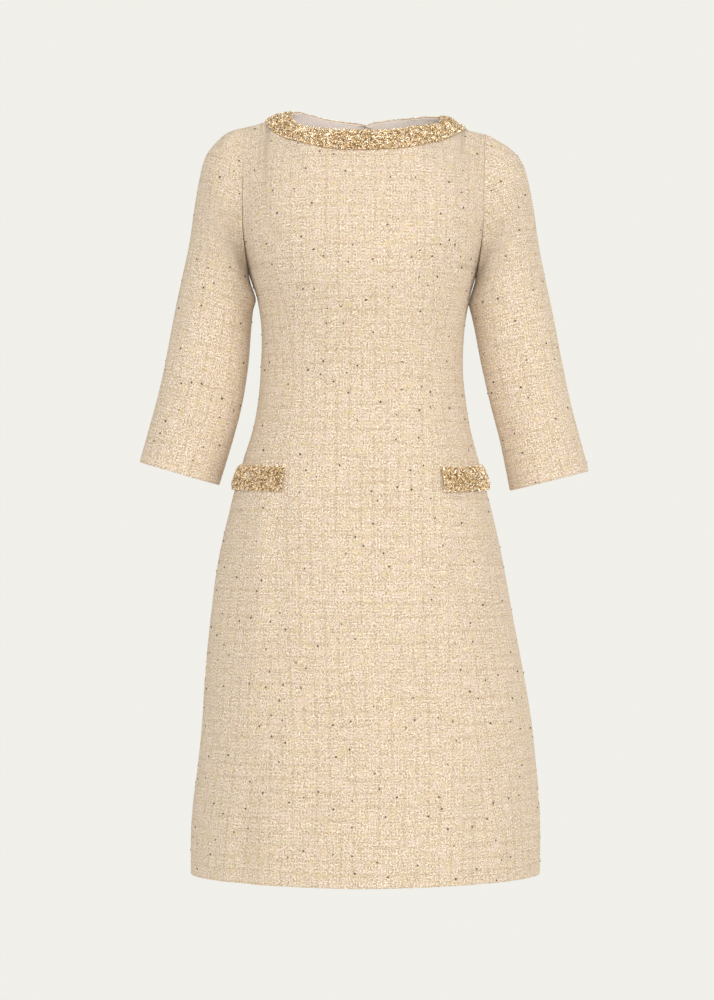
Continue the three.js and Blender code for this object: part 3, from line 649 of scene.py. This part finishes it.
def smoothRings(rings):
    # fine rows on a smooth curve through the rings
    distances = np.concatenate([[0], np.cumsum(np.linalg.norm(np.diff(rings, axis=0), axis=-1).mean(1))])
    wanted = np.linspace(0, distances[-1], round(distances[-1] / cloth["rowStep"]) + 1)
    wanted = np.insert(wanted, 1, cloth["hemSteps"])
    wanted = np.insert(wanted, -1, wanted[-1] - cloth["hemSteps"][::-1])
    flat = rings.reshape(len(rings), -1)
    table = {"at": distances, **dict(enumerate(flat.T))}
    fine = np.stack([readTable(table, wanted, i) for i in range(flat.shape[1])], -1)
    return fine.reshape(len(wanted), -1, 3)


def sleeveBase(hand):
    angles = edgeColumns(0, 2 * math.pi, sleeveCut["cells"])
    points = smoothRings(sleeveRings(angles, hand))
    normals = unit(np.cross(np.gradient(points, axis=1), np.gradient(points, axis=0)))
    if ((points - points.mean(1, keepdims=True)) * normals).sum() < 0:
        normals = -normals
    return angles, points, normals


def armholeEasing(hand):
    # how far, and which way, the cloth moves at each angle round the armhole to round off the corner there
    angles, points, normals = sleeveBase(hand)
    seam, row = points[0], sleeveCut["easeRow"]
    onSleeve = normals[row]
    onBody = np.where((angles <= math.pi)[:, None], bodyNormals(seam, "front"), bodyNormals(seam, "back"))
    corner = np.arccos(np.clip((onBody * onSleeve).sum(1), -1, 1))
    hollow = np.where(((points[row] - seam) * onBody).sum(1) > 0, 1, -1)
    sharpest, widest, fadeAngle = np.radians(sleeveCut["easeAngles"])
    half = np.minimum(corner, sharpest) / 2
    size = np.minimum(sleeveCut["reach"] * np.tan(half) / 2 / np.cos(half), sleeveCut["mostEase"])
    size *= smoothStep((widest - corner) / fadeAngle) * hollow
    ease = unit(onBody + onSleeve) * size[:, None]
    for _ in range(sleeveCut["easeRounds"]):
        ease = 0.5 * ease + 0.25 * (np.roll(ease, 1, 0) + np.roll(ease, -1, 0))
    return angles, ease


easings = {hand: armholeEasing(hand) for hand in hands.values()}


def easeAt(hand, angle):
    angles, ease = easings[hand]
    return np.stack([np.interp(angle, angles, ease[:, i]) for i in range(3)], -1)


def easeBody(points, side, hand):
    z = points[:, -1, 2]
    share = np.clip((z - underarm) / (armholeTop(hand) - underarm), 0, 1)
    angle = np.arccos(1 - 2 * share)
    if side == "back":
        angle = 2 * math.pi - angle
    around = arcLengths(points, 1)
    near = np.clip(1 - (around[:, -1:] - around) / sleeveCut["reach"], 0, 1) ** 2
    above = smoothStep((z - underarm) / sleeveCut["easeFrom"])
    return easeAt(hand, angle)[:, None] * (near * above[:, None])[..., None]


centreColumns = edgeColumns(-1, 1, cloth["centreCells"])
outerColumns = edgeColumns(1, 2, cloth["outerCells"])
backColumns = np.concatenate([
    edgeColumns(0, 1, cloth["centreCells"] // 2, lastFine=False),
    edgeColumns(1, 2, cloth["outerCells"] + cloth["backExtraCells"], firstFine=False)[1:],
])
makePanel("front_centre", centreColumns, 1, cloth["seam"], cloth["seam"], 0.5)
for label, hand in hands.items():
    makePanel("side_front_" + label, outerColumns, hand, cloth["seam"], cloth["armholeSeam"], 0.4)
    makePanel("back_" + label, backColumns, hand, cloth["zipSeam"], cloth["armholeSeam"], 0.25)
print("panels made")

for label, hand in hands.items():
    angles, points, normals = sleeveBase(hand)
    down, around = arcLengths(points, 0), arcLengths(points, 1)
    waves = creaseOffsets(points, sleeveCreases) + sleeveCut["sway"] * swayOffsets(points)
    waves = waves * smoothStep(down / sleeveCut["crisp"])
    eased = np.clip(1 - down / sleeveCut["reach"], 0, 1) ** 2
    base = points + normals * waves[..., None] + easeAt(hand, angles) * eased[..., None]
    underSeam = sleeveCut["underSeam"]
    sunk = rollIn(points, underSeam, underSeam, cloth["armholeSeam"], sleeveCut["cuffEdge"])
    grainColumn = len(angles) // 2
    across = around - around[:, [grainColumn]] + cloth["grainStart"]["sleeve"]
    grain = np.stack([hand * across, down - down[-1:]], -1)
    layCloth("sleeve_" + label, base, normals, sunk, -cloth["thick"], grain)
print("sleeves made")


# the neck band: a strip of cloth round the neck, with beads sewn all over it
band = {
    "base": 0.5,  # how far its cloth stands out of the tweed's outer face
    "rows": 14,
    "cells": 42,
    "reach": 126,  # how far from the centre its ends are
    "edge": (1.2, 2.2),
    "beadGap": 1.86,
    "beadLift": (0.3, 2.0),
    "beadExtra": (0.0, 0),
    "flatTop": 1.0,
}


def bandPoints(columns, shares, side, hand):
    # the band goes on from the panels' top ends: share 0 is its lower edge, 1 the neck edge
    u, columnHands = np.abs(columns), np.where(columns < 0, -hand, hand)
    half, neckHalf = form["band"]["half"], form["neck"]["half"]
    outerX = np.minimum(acrossBody(u, form["topLevel"]), half)
    turn = np.arcsin((outerX / half) ** (form["band"][side + "Power"] / 2))
    neckX = neckHalf * np.sin(turn) ** (2 / form["neck"][side + "Power"])
    outerY = planDepth("band", columnHands * outerX, side)
    neckY = planDepth("neck", columnHands * neckX, side)
    shares = shares[:, None]
    fromCentre = outerX + (neckX - outerX) * shares
    y = outerY + (neckY - outerY) * shares
    x = bodyValue(0, "lean") + columnHands * fromCentre
    z = heightOver(x, y, side)
    return np.stack([x, outward[side] * y, z], -1)


backBandColumns = edgeColumns(0, columnAt(band["reach"]), band["cells"])
frontBandColumns = np.unique(np.concatenate([-backBandColumns, backBandColumns]))
bandCuts = {"neck_band_front": ("front", frontBandColumns, 1)}
for label, hand in hands.items():
    bandCuts["neck_band_back_" + label] = ("back", backBandColumns, hand)
beadGrids = {}
for node, (side, columns, hand) in bandCuts.items():
    points = bandPoints(columns, edgeColumns(0, 1, band["rows"]), side, hand)
    normals = bodyNormals(points, side)
    sunk = rollIn(points, *[band["edge"]] * 4)
    layCloth(node, points, normals, band["base"] + sunk, -cloth["thick"], grainMap(points))
    beadGrids[node] = (points + normals * band["base"], normals, band)

# the satin inside the back of the neck
liningCut = {
    "thick": 1.0,
    "gap": 0.3,
    "depth": 4 / 7,  # the share of the way from the top edge to the underarm that it goes down
    "reach": 124.5,
    "rows": 26,
    "topRows": 12,
    "cells": 44,
    "topPull": 0.25,
    "flatEdge": 12,
}
for label, hand in hands.items():
    columns = edgeColumns(0, columnAt(liningCut["reach"]), liningCut["cells"])
    low = panelRows(columns, "back", hand, np.linspace(liningCut["depth"], 0, liningCut["rows"]))[0]
    high = bandPoints(columns, np.linspace(0, 1, liningCut["topRows"])[1:], "back", hand)
    points = np.concatenate([low, high])
    lastStep = points[-2] - points[-1]
    points[-1] += lastStep * (liningCut["topPull"] / np.linalg.norm(lastStep, axis=-1, keepdims=True))
    normals = bodyNormals(points, "back")
    x, z = points[..., 0], points[..., 2]
    ease = 0.12 * np.sin(x / 5.5 + 1.3 * np.sin(z / 19)) + 0.10 * np.sin(x / 13 + z / 9)
    flat = smoothStep(arcLengths(points, 0)[::-1] / liningCut["flatEdge"])
    outer = points - normals * (cloth["thick"] + liningCut["gap"] + ease * flat)[..., None]
    layCloth("neck_lining_" + label, outer, normals, 0.0, -liningCut["thick"], grainMap(points, 0))
print("neck band and lining made")

# the hip flaps and the welt over each
flap = {
    "top": -453,
    "height": 28,
    "thick": 1.9,
    "lift": 0.5,
    "kick": 1.2,
    "puff": 1.1,
    "turnOver": 7,
    "curl": (1.3, 0.78, 0.22),  # how far its lower edge comes back, where that starts, and over what share
    "sag": {"left": 4, "right": 2},
    "inner": {"left": 1.035, "right": 0.985},
    "cells": 44,
    "rows": 14,
    "edge": (1.3, 2.4),
    "edgeShare": 0.6,
    "beadGap": 1.8,
    "beadLift": (0.4, 2.3),
    "beadSink": 0.4,
    "beadExtra": (0.9, 1.0),
    "flatTop": 0.0,
}
welt = {
    "height": 2.8,
    "thick": 2.2,
    "flat": 0.25,  # the share of its thickness that doesn't bulge
    "gap": 0.3,
    "rows": 11,
    "edge": (1.4, 1.6),
    "edgeShare": 0.8,
}


def hipPoints(levels, label, hand):
    # the flap's inner end hangs a little lower than the end at the side seam
    columns = edgeColumns(flap["inner"][label], 2, flap["cells"])
    z = levels[:, None] - flap["sag"][label] * (2 - columns)
    x = bodyValue(z, "lean") + hand * acrossBody(columns, z)
    points = bodyPoints(x, z, "front")
    return points, bodyNormals(points, "front")


for label, hand in hands.items():
    share = edgeColumns(0, 1, flap["rows"])
    points, normals = hipPoints(flap["top"] - flap["height"] * (1 - share), label, hand)
    fall = 1 - share[:, None]
    rise = 1 - np.exp(-fall * flap["turnOver"])  # it turns over its top seam, and its lower edge curls back
    curl, curlStart, curlShare = flap["curl"]
    kick = (flap["kick"] * fall + flap["puff"]) * rise - curl * smoothStep((fall - curlStart) / curlShare)
    offset = flap["lift"] + kick + 0 * points[..., 0]
    sunk = rollIn(points, *[flap["edge"]] * 4) * flap["edgeShare"]
    layCloth("flap_" + label, points, normals, offset + flap["thick"] + sunk, offset, grainMap(points))
    beadBase = points + normals * (offset + flap["thick"] - flap["beadSink"])[..., None]
    beadGrids["flap_" + label] = (beadBase, normals, flap)

    across = np.linspace(0, 1, welt["rows"])
    points, normals = hipPoints(flap["top"] + welt["gap"] + welt["height"] * across, label, hand)
    bulge = np.sqrt(np.clip(1 - (2 * across - 1) ** 2, 0, 1))[:, None]
    ends = rollIn(points, welt["edge"], welt["edge"]) * welt["edgeShare"]
    high = welt["gap"] + welt["thick"] * (welt["flat"] + (1 - welt["flat"]) * bulge) + ends
    layCloth("flap_welt_" + label, points, normals, high, welt["gap"], grainMap(points))
print("flaps made")

# beads, each kind modelled once: radius, half length, sides, inset of the ends, how far out the rim and the
# hole stand, and its share of all beads; sizes in millimetres
beads = {
    "seed": (0.95, 0.72, 6, 0.5, 0.5, 0.75, 0.50),
    "bugle": (0.55, 1.7, 5, 0.25, 1, 0.85, 0.30),
    "drop": (1.15, 0.7, 6, 0.62, 0.25, 1.1, 0.20),
}
sewing = {
    "rowGap": 0.866,  # rows are this much as far apart as the beads in one row
    "shake": 0.32,
    "lean": 0.42,
    "sizes": (0.78, 1.15),
    "edgeHeight": (0.35, 0.65, 5),  # share of the height at an edge, the rest, and how steeply it rises
    "topPart": (0.84, 0.16),  # where a flat top begins, and how much of the height is left above that
    "topShrink": 0.36,
    "smoothAngle": 32,
}


def beadShape(radius, height, sides, inset, rim, hole):
    # a short cylinder, its ends inset and pushed in or out, its rim drawn together
    deselectAll()
    bpy.ops.mesh.primitive_cylinder_add(vertices=sides, radius=radius, depth=2 * height,
                                        end_fill_type="NGON", location=(0, 0, 0))
    shape = bpy.context.object
    bpy.ops.object.mode_set(mode="EDIT")
    bpy.ops.mesh.select_all(action="DESELECT")
    mesh = bmesh.from_edit_mesh(shape.data)
    for face in mesh.faces:
        face.select = abs(face.normal.z) > 0.9
    bmesh.update_edit_mesh(shape.data)
    bpy.ops.mesh.inset(thickness=radius * inset, depth=0)
    bpy.ops.object.mode_set(mode="OBJECT")
    points = np.array([v.co for v in shape.data.vertices])
    atRim = np.hypot(points[:, 0], points[:, 1]) > 0.9 * radius
    points[:, 2] *= np.where(atRim, rim, hole)
    faces = []
    for polygon in shape.data.polygons:
        corners = list(polygon.vertices)
        faces += [(corners[0], *corners[i:i + 2]) for i in range(1, len(corners) - 1)]
    bpy.data.objects.remove(shape)
    return points, np.array(faces)


def scatterSpots(points, gap, random):
    # staggered rows of spots over a grid of points, shaken a little: row and column as shares
    across = np.linalg.norm(np.diff(points, axis=1), axis=-1).sum(1).max()
    up = np.linalg.norm(np.diff(points, axis=0), axis=-1).sum(0).max()
    rows = max(2, round(up / (gap * sewing["rowGap"])))
    columns = max(2, round(across / gap))
    shake = sewing["shake"]
    spots = []
    for i in range(rows + 1):
        for j in range(columns + i % 2):
            s = (j + 0.5 * (1 - i % 2) + random.uniform(-shake, shake)) / columns
            t = (i + random.uniform(-shake, shake)) / rows
            spots.append((min(max(t, 0), 1), min(max(s, 0), 1)))
    return np.array(spots)


def gridAt(grid, arcs, spots):
    # the grid's value at each spot, row and column given as shares of its length and width
    i = np.interp(spots[:, 0], arcs[0], np.arange(len(arcs[0])))
    j = np.interp(spots[:, 1], arcs[1], np.arange(len(arcs[1])))
    i0 = np.clip(i.astype(int), 0, grid.shape[0] - 2)
    j0 = np.clip(j.astype(int), 0, grid.shape[1] - 2)
    a, b = (i - i0)[:, None], (j - j0)[:, None]
    return ((grid[i0, j0] * (1 - b) + grid[i0, j0 + 1] * b) * (1 - a)
            + (grid[i0 + 1, j0] * (1 - b) + grid[i0 + 1, j0 + 1] * b) * a)


def widened(grid, extra):
    # the grid carried on straight past its edges, extra millimetres up columns and along rows
    for axis in (0, 1):
        first, second, before, last = (np.take(grid, [at], axis=axis) for at in (0, 1, -2, -1))
        outFirst, outLast = first - second, last - before
        for out in (outFirst, outLast):
            out *= extra[axis] / np.maximum(np.linalg.norm(out, axis=-1, keepdims=True), 1e-6)
        grid = np.concatenate([first + outFirst, grid, last + outLast], axis=axis)
    return grid


def gridShares(points):
    # how far along its middle row and column each of the grid's columns and rows lies
    rows, columns = points.shape[:2]
    up = arcLengths(points[:, columns // 2:columns // 2 + 1], 0)[:, 0]
    around = arcLengths(points[rows // 2:rows // 2 + 1], 1)[0]
    return up / up[-1], around / around[-1]


def draws(items, draw, *between):
    # one draw for each item
    return np.array([draw(*between) for _ in items])


def turnedFrames(normals, random, lean):
    # a frame for each bead: its hole lies along the cloth, turned at random and leaning a little
    turn = draws(normals, random.uniform, 0, 2 * math.pi)[:, None]
    tip = draws(normals, random.gauss, 0, lean)[:, None]
    helper = np.where(np.abs(normals[:, 2:3]) < 0.8, [[0.0, 0.0, 1.0]], [[1.0, 0.0, 0.0]])
    first = unit(np.cross(normals, helper))
    along = first * np.cos(turn) + np.cross(normals, first) * np.sin(turn)
    along = unit(along * np.cos(tip) + normals * np.sin(tip))
    up = unit(normals - along * (normals * along).sum(1, keepdims=True))
    return np.stack([np.cross(up, along), up, along], axis=2)


def sewnObject(name, parts):
    # one mesh joined from copies of every kind; parts holds its shape, places, frames, sizes and tones
    allPoints, allFaces, allTones, start = [], [], [], 0
    for (points, faces), places, frames, sizes, tones in parts:
        turned = np.einsum("nij,pj->npi", frames, points) * sizes[:, None, None] + places[:, None]
        starts = start + np.arange(len(places)) * len(points)
        allPoints.append(turned.reshape(-1, 3))
        allFaces.append((faces[None] + starts[:, None, None]).reshape(-1, 3))
        allTones.append(np.repeat(tones, len(points)))
        start += len(allPoints[-1])
    thing = makeObject(name, np.concatenate(allPoints), np.concatenate(allFaces),
                       smoothAngle=sewing["smoothAngle"])
    tone = thing.data.attributes.new("tone", "FLOAT", "POINT")
    tone.data.foreach_set("value", np.concatenate(allTones).astype(np.float32))
    return thing


beadShapes = {kind: beadShape(*cut[:-1]) for kind, cut in beads.items()}


def sewBeads(name, base, normals, cut, random):
    base = widened(base, cut["beadExtra"])
    normals = np.pad(normals, ((1, 1), (1, 1), (0, 0)), mode="edge")
    spots = scatterSpots(base, cut["beadGap"], random)
    shares = gridShares(base)
    places, outwards = gridAt(base, shares, spots), unit(gridAt(normals, shares, spots))
    level = spots[:, 0]
    least, rest, steepness = sewing["edgeHeight"]
    edge = np.minimum(np.minimum(level, 1 - level) * steepness, 1)
    topStart, topShare = sewing["topPart"]
    nearTop = cut["flatTop"] * smoothStep((level - topStart) / topShare)
    heights = draws(spots, random.uniform, *cut["beadLift"]) * (least + rest * edge) * (1 - nearTop)
    frames = turnedFrames(outwards, random, sewing["lean"])
    kinds = np.array(random.choices(list(beads), [kind[-1] for kind in beads.values()], k=len(spots)))
    tones = draws(spots, random.random)
    sizes = draws(spots, random.uniform, *sewing["sizes"]) * (1 - sewing["topShrink"] * nearTop)
    lifted = places + outwards * heights[:, None]
    parts = []
    for kind, shape in beadShapes.items():
        chosen = np.flatnonzero(kinds == kind)
        parts.append((shape, lifted[chosen], frames[chosen], sizes[chosen], tones[chosen]))
    print(len(spots), "beads on", name)
    return sewnObject(name, parts)


beadPieces = {}
dice = random.Random(41)
for node, (base, normals, cut) in beadGrids.items():
    name = plainName("beads_" + node.replace("band_", ""))
    beadPieces[node] = sewBeads(name, base, normals, cut, dice)

# dark sequins sewn here and there on the tweed, each a shallow cup
sequins = {
    "cup": (1.2, 0.32, 8, 0.62, 1, 0.45),
    "areaEach": 1600,
    "apart": 13,
    "lift": 0.28,
    "tilt": 0.22,
    "sizes": (0.8, 1.12),
    "tries": 12,
    "keepOff": ((84, 190), (-492, -440)),  # the flaps' places: distances from the centre, and levels
}


def sequinSpots(piece, count, random):
    # spots evenly likely by area, none close to another or under a flap; the faces drawn from are the whole
    # outer side and the inner side's first few, at a panel's hem and at a sleeve's armhole
    mesh = piece.data
    faceCount = (len(mesh.polygons) - 2) // 2
    sums = np.cumsum([polygon.area for polygon in mesh.polygons[:faceCount]])
    (nearest, farthest), (lowest, highest) = sequins["keepOff"]
    spots = []
    for _ in range(count * sequins["tries"]):
        face = mesh.polygons[int(np.searchsorted(sums, random.random() * sums[-1]))]
        a, b, c, d = (np.array(mesh.vertices[i].co) / mm for i in face.vertices)
        s, t = random.random(), random.random()
        spot = (a * (1 - s) + b * s) * (1 - t) + (d * (1 - s) + c * s) * t
        underFlap = spot[1] < 0 and nearest < abs(spot[0]) < farthest and lowest < spot[2] < highest
        if underFlap or any(np.linalg.norm(spot - other[0]) < sequins["apart"] for other in spots):
            continue
        spots.append((spot, np.array(face.normal)))
        if len(spots) == count:
            break
    return spots


def sewSequins(name, nodes, random):
    spots = []
    for node in nodes:
        area = sum(polygon.area for polygon in pieces[node].data.polygons) / 2 / mm ** 2
        spots += sequinSpots(pieces[node], round(area / sequins["areaEach"]), random)
    places = np.array([place + normal * sequins["lift"] for place, normal in spots])
    lean = draws(range(3 * len(spots)), random.gauss, 0, sequins["tilt"]).reshape(-1, 3)
    normals = unit(np.array([normal for _, normal in spots]) + lean)
    frames = turnedFrames(normals, random, 0)
    frames = frames[:, :, [2, 0, 1]]  # a sequin lies flat, so its own axis points out of the cloth
    sizes = draws(spots, random.uniform, *sequins["sizes"])
    tones = draws(spots, random.random)
    print(len(spots), "sequins on", name)
    return sewnObject(name, [(beadShape(*sequins["cup"]), places, frames, sizes, tones)])


dice = random.Random(7)
bodyNodes = ["front_centre", "side_front_left", "side_front_right", "back_left", "back_right"]
sequinPieces = [sewSequins("sequinsBody", bodyNodes, dice)]
for label in hands:
    sequinPieces.append(sewSequins("sequinsSleeve" + label.title(), ["sleeve_" + label], dice))


# materials: each is made of nodes, its coordinates in millimetres; a socket knows the tree it belongs to
def maths(operation, a, b=0.0, c=0.0):
    return addNode(a.id_data, "Math", {0: a, 1: b, 2: c}, operation=operation).outputs[0]


def blendColour(share, a, b):
    a, b = ((*v, 1) if isinstance(v, tuple) else v for v in (a, b))
    return addNode(share.id_data, "Mix", {0: share, 6: a, 7: b}, data_type="RGBA").outputs[2]


def noiseAt(place, size, detail=2.0, roughness=0.5, output="Fac"):
    # size is the width of one blotch in millimetres
    settings = {"Vector": place, "Scale": 1 / size, "Detail": detail, "Roughness": roughness}
    return addNode(place.id_data, "TexNoise", settings).outputs[output]


def fade(value, low, high, top=1.0):
    inputs = {"Value": value, "From Min": low, "From Max": high, "To Min": 0.0, "To Max": top}
    return addNode(value.id_data, "MapRange", inputs, interpolation_type="SMOOTHSTEP").outputs["Result"]


def stretched(place, factors, shift=(0.0, 0.0, 0.0)):
    inputs = {"Vector": place, "Location": shift, "Scale": factors}
    return addNode(place.id_data, "Mapping", inputs).outputs["Vector"]


def clothPlace(tree):
    return stretched(addNode(tree, "UVMap", uv_map="grain").outputs["UV"], (1 / mm,) * 3)


def objectPlace(tree):
    return stretched(addNode(tree, "TexCoord").outputs["Object"], (1 / mm,) * 3)


def pieceTone(tree):
    return addNode(tree, "Attribute", attribute_name="tone").outputs["Fac"]


def newMaterial(name, **sockets):
    # shader values that are the same all over are set on its own sockets
    material = bpy.data.materials.new(name)
    material.use_nodes = True
    shader = material.node_tree.nodes["Principled BSDF"]
    for key, value in sockets.items():
        shader.inputs[key].default_value = value
    return material, material.node_tree


def joinUp(colour, roughness, height, distance):
    tree = colour.id_data
    shader = tree.nodes["Principled BSDF"]
    bump = addNode(tree, "Bump", {"Height": height, "Distance": distance, "Strength": 1.0})
    joins = {"Base Color": colour, "Roughness": roughness, "Normal": bump.outputs["Normal"]}
    for name, value in joins.items():
        tree.links.new(value, shader.inputs[name])


tweed = {
    "light": (1.0, 0.868, 0.715),
    # the colour of the relief's low places: darker yarn, and painted shade between the loops
    "shade": (0.42, 0.285, 0.155),
    "line": (0.52, 0.345, 0.185),
    "pale": (1.0, 0.90, 0.78),
    "cell": (3.85, 4.15),  # one loop's width and height
    "wander": (6.5, 2.6),  # how long and how wide the threads' wandering is
    "patches": [  # colour, stretch across, own part of the noise, width, detail, roughness, (from, to, most)
        ((0.72, 0.63, 0.36), 0.8, 40.0, 10.0, 3.0, 0.62, (0.52, 0.70, 0.62)),
        ((0.88, 0.68, 0.63), 1.0, 90.0, 13.0, 3.0, 0.62, (0.51, 0.70, 0.45)),
        ((0.84, 0.66, 0.38), 0.55, 140.0, 6.0, 3.0, 0.6, (0.55, 0.72, 0.60)),
    ],
    "flecks": [((0.72, 0.42, 0.15), 0.7, 210.0, 3.4, 1.0, 0.5, (0.735, 0.79, 0.7))],
    "relief": {"fineLoops": 0.12, "loops": 0.20, "grain": 0.60, "coarse": 0.24, "pane": -0.16, "slub": 0.10},
    "bump": 0.0011,
}


def tweedMaterial():
    material, tree = newMaterial("boucleTweed", **{
        "Sheen Weight": 0.55, "Sheen Roughness": 0.5, "Sheen Tint": (1.0, 0.88, 0.72, 1.0),
        "Specular IOR Level": 0.16})
    flat = clothPlace(tree)
    wanderLength, wanderWidth = tweed["wander"]
    shaken = noiseAt(flat, wanderLength, 2.5, 0.6, "Color")
    wander = addNode(tree, "VectorMath", {0: shaken, 1: (0.5, 0.5, 0.5)}, operation="SUBTRACT")
    wander = addNode(tree, "VectorMath", {0: wander.outputs[0], "Scale": wanderWidth}, operation="SCALE")
    place = addNode(tree, "VectorMath", {0: flat, 1: wander.outputs[0]}, operation="ADD").outputs[0]
    axes = addNode(tree, "SeparateXYZ", {0: place})

    def ripples(cells, sharp):
        # across and up: 1 along each thread's middle, 0 between threads
        waves = []
        for axis, cell in enumerate(tweed["cell"]):
            turn = maths("MULTIPLY", axes.outputs[axis], 2 * math.pi / (cell * cells))
            wave = maths("MULTIPLY_ADD", maths("COSINE", turn), 0.5, 0.5)
            waves.append(maths("POWER", wave, sharp))
        return waves

    def streaks(factors, shift, size, low, high, top=1.0):
        return fade(noiseAt(stretched(place, factors, shift), size, 1.0), low, high, top)

    def tinted(colour, patches):
        for tint, across, shift, size, detail, roughness, fading in patches:
            where = stretched(place, (across, 1.0, 1.0), (0.0, 0.0, shift))
            share = fade(noiseAt(where, size, detail, roughness), *fading)
            colour = blendColour(share, colour, tint)
        return colour

    # the small check is of darker threads at every fourth loop, broken up along their length
    checkX, checkY = ripples(4, 34)
    paneX = maths("MULTIPLY", checkX, streaks((1.0, 0.16, 1.0), (31.0, 0.0, 4.0), 7.5, 0.32, 0.62, 0.76))
    paneY = maths("MULTIPLY", checkY, streaks((0.16, 1.0, 1.0), (0.0, 57.0, 9.0), 8.0, 0.32, 0.62, 0.70))
    slubUp = streaks((1.0, 0.13, 1.0), (8.0, 5.0, 23.0), 1.9, 0.62, 0.74)
    parts = {
        "loops": maths("MULTIPLY", *ripples(1, 0.8)),
        "fineLoops": maths("MULTIPLY", *ripples(0.5, 0.6)),
        "grain": fade(noiseAt(place, 1.7, 2.0, 0.7), 0.36, 0.64),
        "coarse": noiseAt(place, 3.1),
        "pane": maths("MAXIMUM", paneX, paneY),
        "slub": streaks((0.11, 1.0, 1.0), (5.0, 2.0, 17.0), 1.9, 0.60, 0.72),
    }
    height = 0.0
    for name, rise in tweed["relief"].items():
        height = maths("MULTIPLY_ADD", parts[name], rise, height)

    # colour follows the relief: low places take the shade colour, partly darker yarn and partly painted shade
    # between the loops
    colour = blendColour(fade(height, 0.08, 0.86), tweed["shade"], tweed["light"])
    colour = tinted(colour, tweed["patches"])
    for share, strength, tint in ((parts["pane"], 0.36, "line"), (parts["slub"], 0.22, "pale"),
                                  (slubUp, 0.30, "line")):
        colour = blendColour(maths("MULTIPLY", share, strength), colour, tweed[tint])
    colour = tinted(colour, tweed["flecks"])
    roughness = maths("MULTIPLY_ADD", parts["grain"], -0.15, 0.98)
    joinUp(colour, roughness, height, tweed["bump"])
    return material


def twoToned(base, tint, share, texture, roughness, bump):
    # a second colour laid over the first, and a roughness and a bump that follow one texture
    spread, least = roughness
    colour = blendColour(share, base, tint)
    joinUp(colour, maths("MULTIPLY_ADD", texture, spread, least), texture, bump)


def groundMaterial():
    # the cloth under the beads
    material, tree = newMaterial("goldGround", **{"Sheen Weight": 0.1, "Specular IOR Level": 0.3})
    place = clothPlace(tree)
    grain, patch = noiseAt(place, 1.0, 3.0, 0.6), noiseAt(place, 5.0)
    colour = blendColour(fade(grain, 0.3, 0.7), (0.36, 0.21, 0.08), (0.66, 0.45, 0.22))
    twoToned(colour, (0.80, 0.60, 0.36), fade(patch, 0.45, 0.7, 0.5), grain, (-0.2, 0.75), 0.0008)
    return material


def satinMaterial():
    material, tree = newMaterial("paleSatin", **{
        "Sheen Weight": 0.35, "Specular IOR Level": 0.42, "Anisotropic": 0.5})
    place = clothPlace(tree)
    threads = noiseAt(stretched(place, (1.0, 0.06, 1.0)), 0.35, 2.0, 0.6)
    clouds = fade(noiseAt(place, 14.0), 0.3, 0.75)
    colour = blendColour(clouds, (0.98, 0.875, 0.81), (1.0, 0.92, 0.86))
    share = fade(threads, 0.4, 0.75, 0.16)
    twoToned(colour, (0.86, 0.75, 0.68), share, threads, (0.12, 0.40), 0.00012)
    return material


def beadMaterial():
    material, tree = newMaterial("goldBeads", **{
        "Metallic": 0.45, "Coat Weight": 0.4, "Coat Roughness": 0.12, "Specular IOR Level": 0.6})
    ramp = addNode(tree, "ValToRGB", {"Fac": pieceTone(tree)})
    stops = [(0.0, (0.18, 0.10, 0.03)), (0.22, (0.42, 0.265, 0.10)), (0.44, (0.87, 0.635, 0.315)),
             (0.68, (1.0, 0.83, 0.57)), (0.9, (1.0, 0.92, 0.80))]
    elements = ramp.color_ramp.elements
    while len(elements) < len(stops):
        elements.new(0.5)
    for element, (at, shade) in zip(elements, stops):
        element.position = at
        element.color = (*shade, 1)
    cloud = noiseAt(objectPlace(tree), 1.1)
    share = fade(cloud, 0.35, 0.75, 0.35)
    twoToned(ramp.outputs["Color"], (0.60, 0.40, 0.18), share, cloud, (0.22, 0.10), 0.00018)
    return material


def sequinMaterial():
    material, tree = newMaterial("darkSequins", **{"Metallic": 0.1, "Coat Weight": 0.12})
    cloud = noiseAt(objectPlace(tree), 0.7)
    colour = blendColour(pieceTone(tree), (0.030, 0.018, 0.008), (0.15, 0.085, 0.036))
    share = fade(cloud, 0.5, 0.8, 0.5)
    twoToned(colour, (0.16, 0.11, 0.07), share, cloud, (0.25, 0.25), 0.0001)
    return material


def metalMaterial(name, bright, dull, roughness):
    material, tree = newMaterial(name, Metallic=1.0)
    place = objectPlace(tree)
    scratches = noiseAt(stretched(place, (1.0, 1.0, 0.12)), 0.25, 3.0, 0.7)
    tarnish = fade(noiseAt(place, 2.2, 3.0, 0.6), 0.42, 0.75)
    twoToned(bright, dull, tarnish, scratches, (0.22, roughness), 0.00004)
    return material


finishes = {
    "tweed": tweedMaterial(),
    "ground": groundMaterial(),
    "satin": satinMaterial(),
    "beads": beadMaterial(),
    "sequins": sequinMaterial(),
    "steel": metalMaterial("brushedSteel", (0.60, 0.58, 0.55), (0.42, 0.40, 0.37), 0.24),
    "gilt": metalMaterial("paleGilt", (0.86, 0.69, 0.42), (0.66, 0.48, 0.25), 0.20),
}
print("materials made")


# every piece gets its finish, its body and the slot it takes its finish from
def finishPiece(piece, finish):
    piece.data.materials.clear()
    piece.data.materials.append(finishes[finish])
    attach(piece, "dress")


for node, piece in pieces.items():
    if node in beadGrids:
        finishPiece(piece, "ground")
    elif "lining" in node:
        finishPiece(piece, "satin")
    else:
        finishPiece(piece, "tweed")
    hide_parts(node)
for piece in beadPieces.values():
    finishPiece(piece, "beads")
for piece in sequinPieces:
    finishPiece(piece, "sequins")
metals = {"zip_pull": "gilt", "zip_slider": "gilt", "neck_hook": "steel", "neck_eye": "steel"}
for node, finish in metals.items():
    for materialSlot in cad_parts[node].material_slots:
        materialSlot.material = finishes[finish]
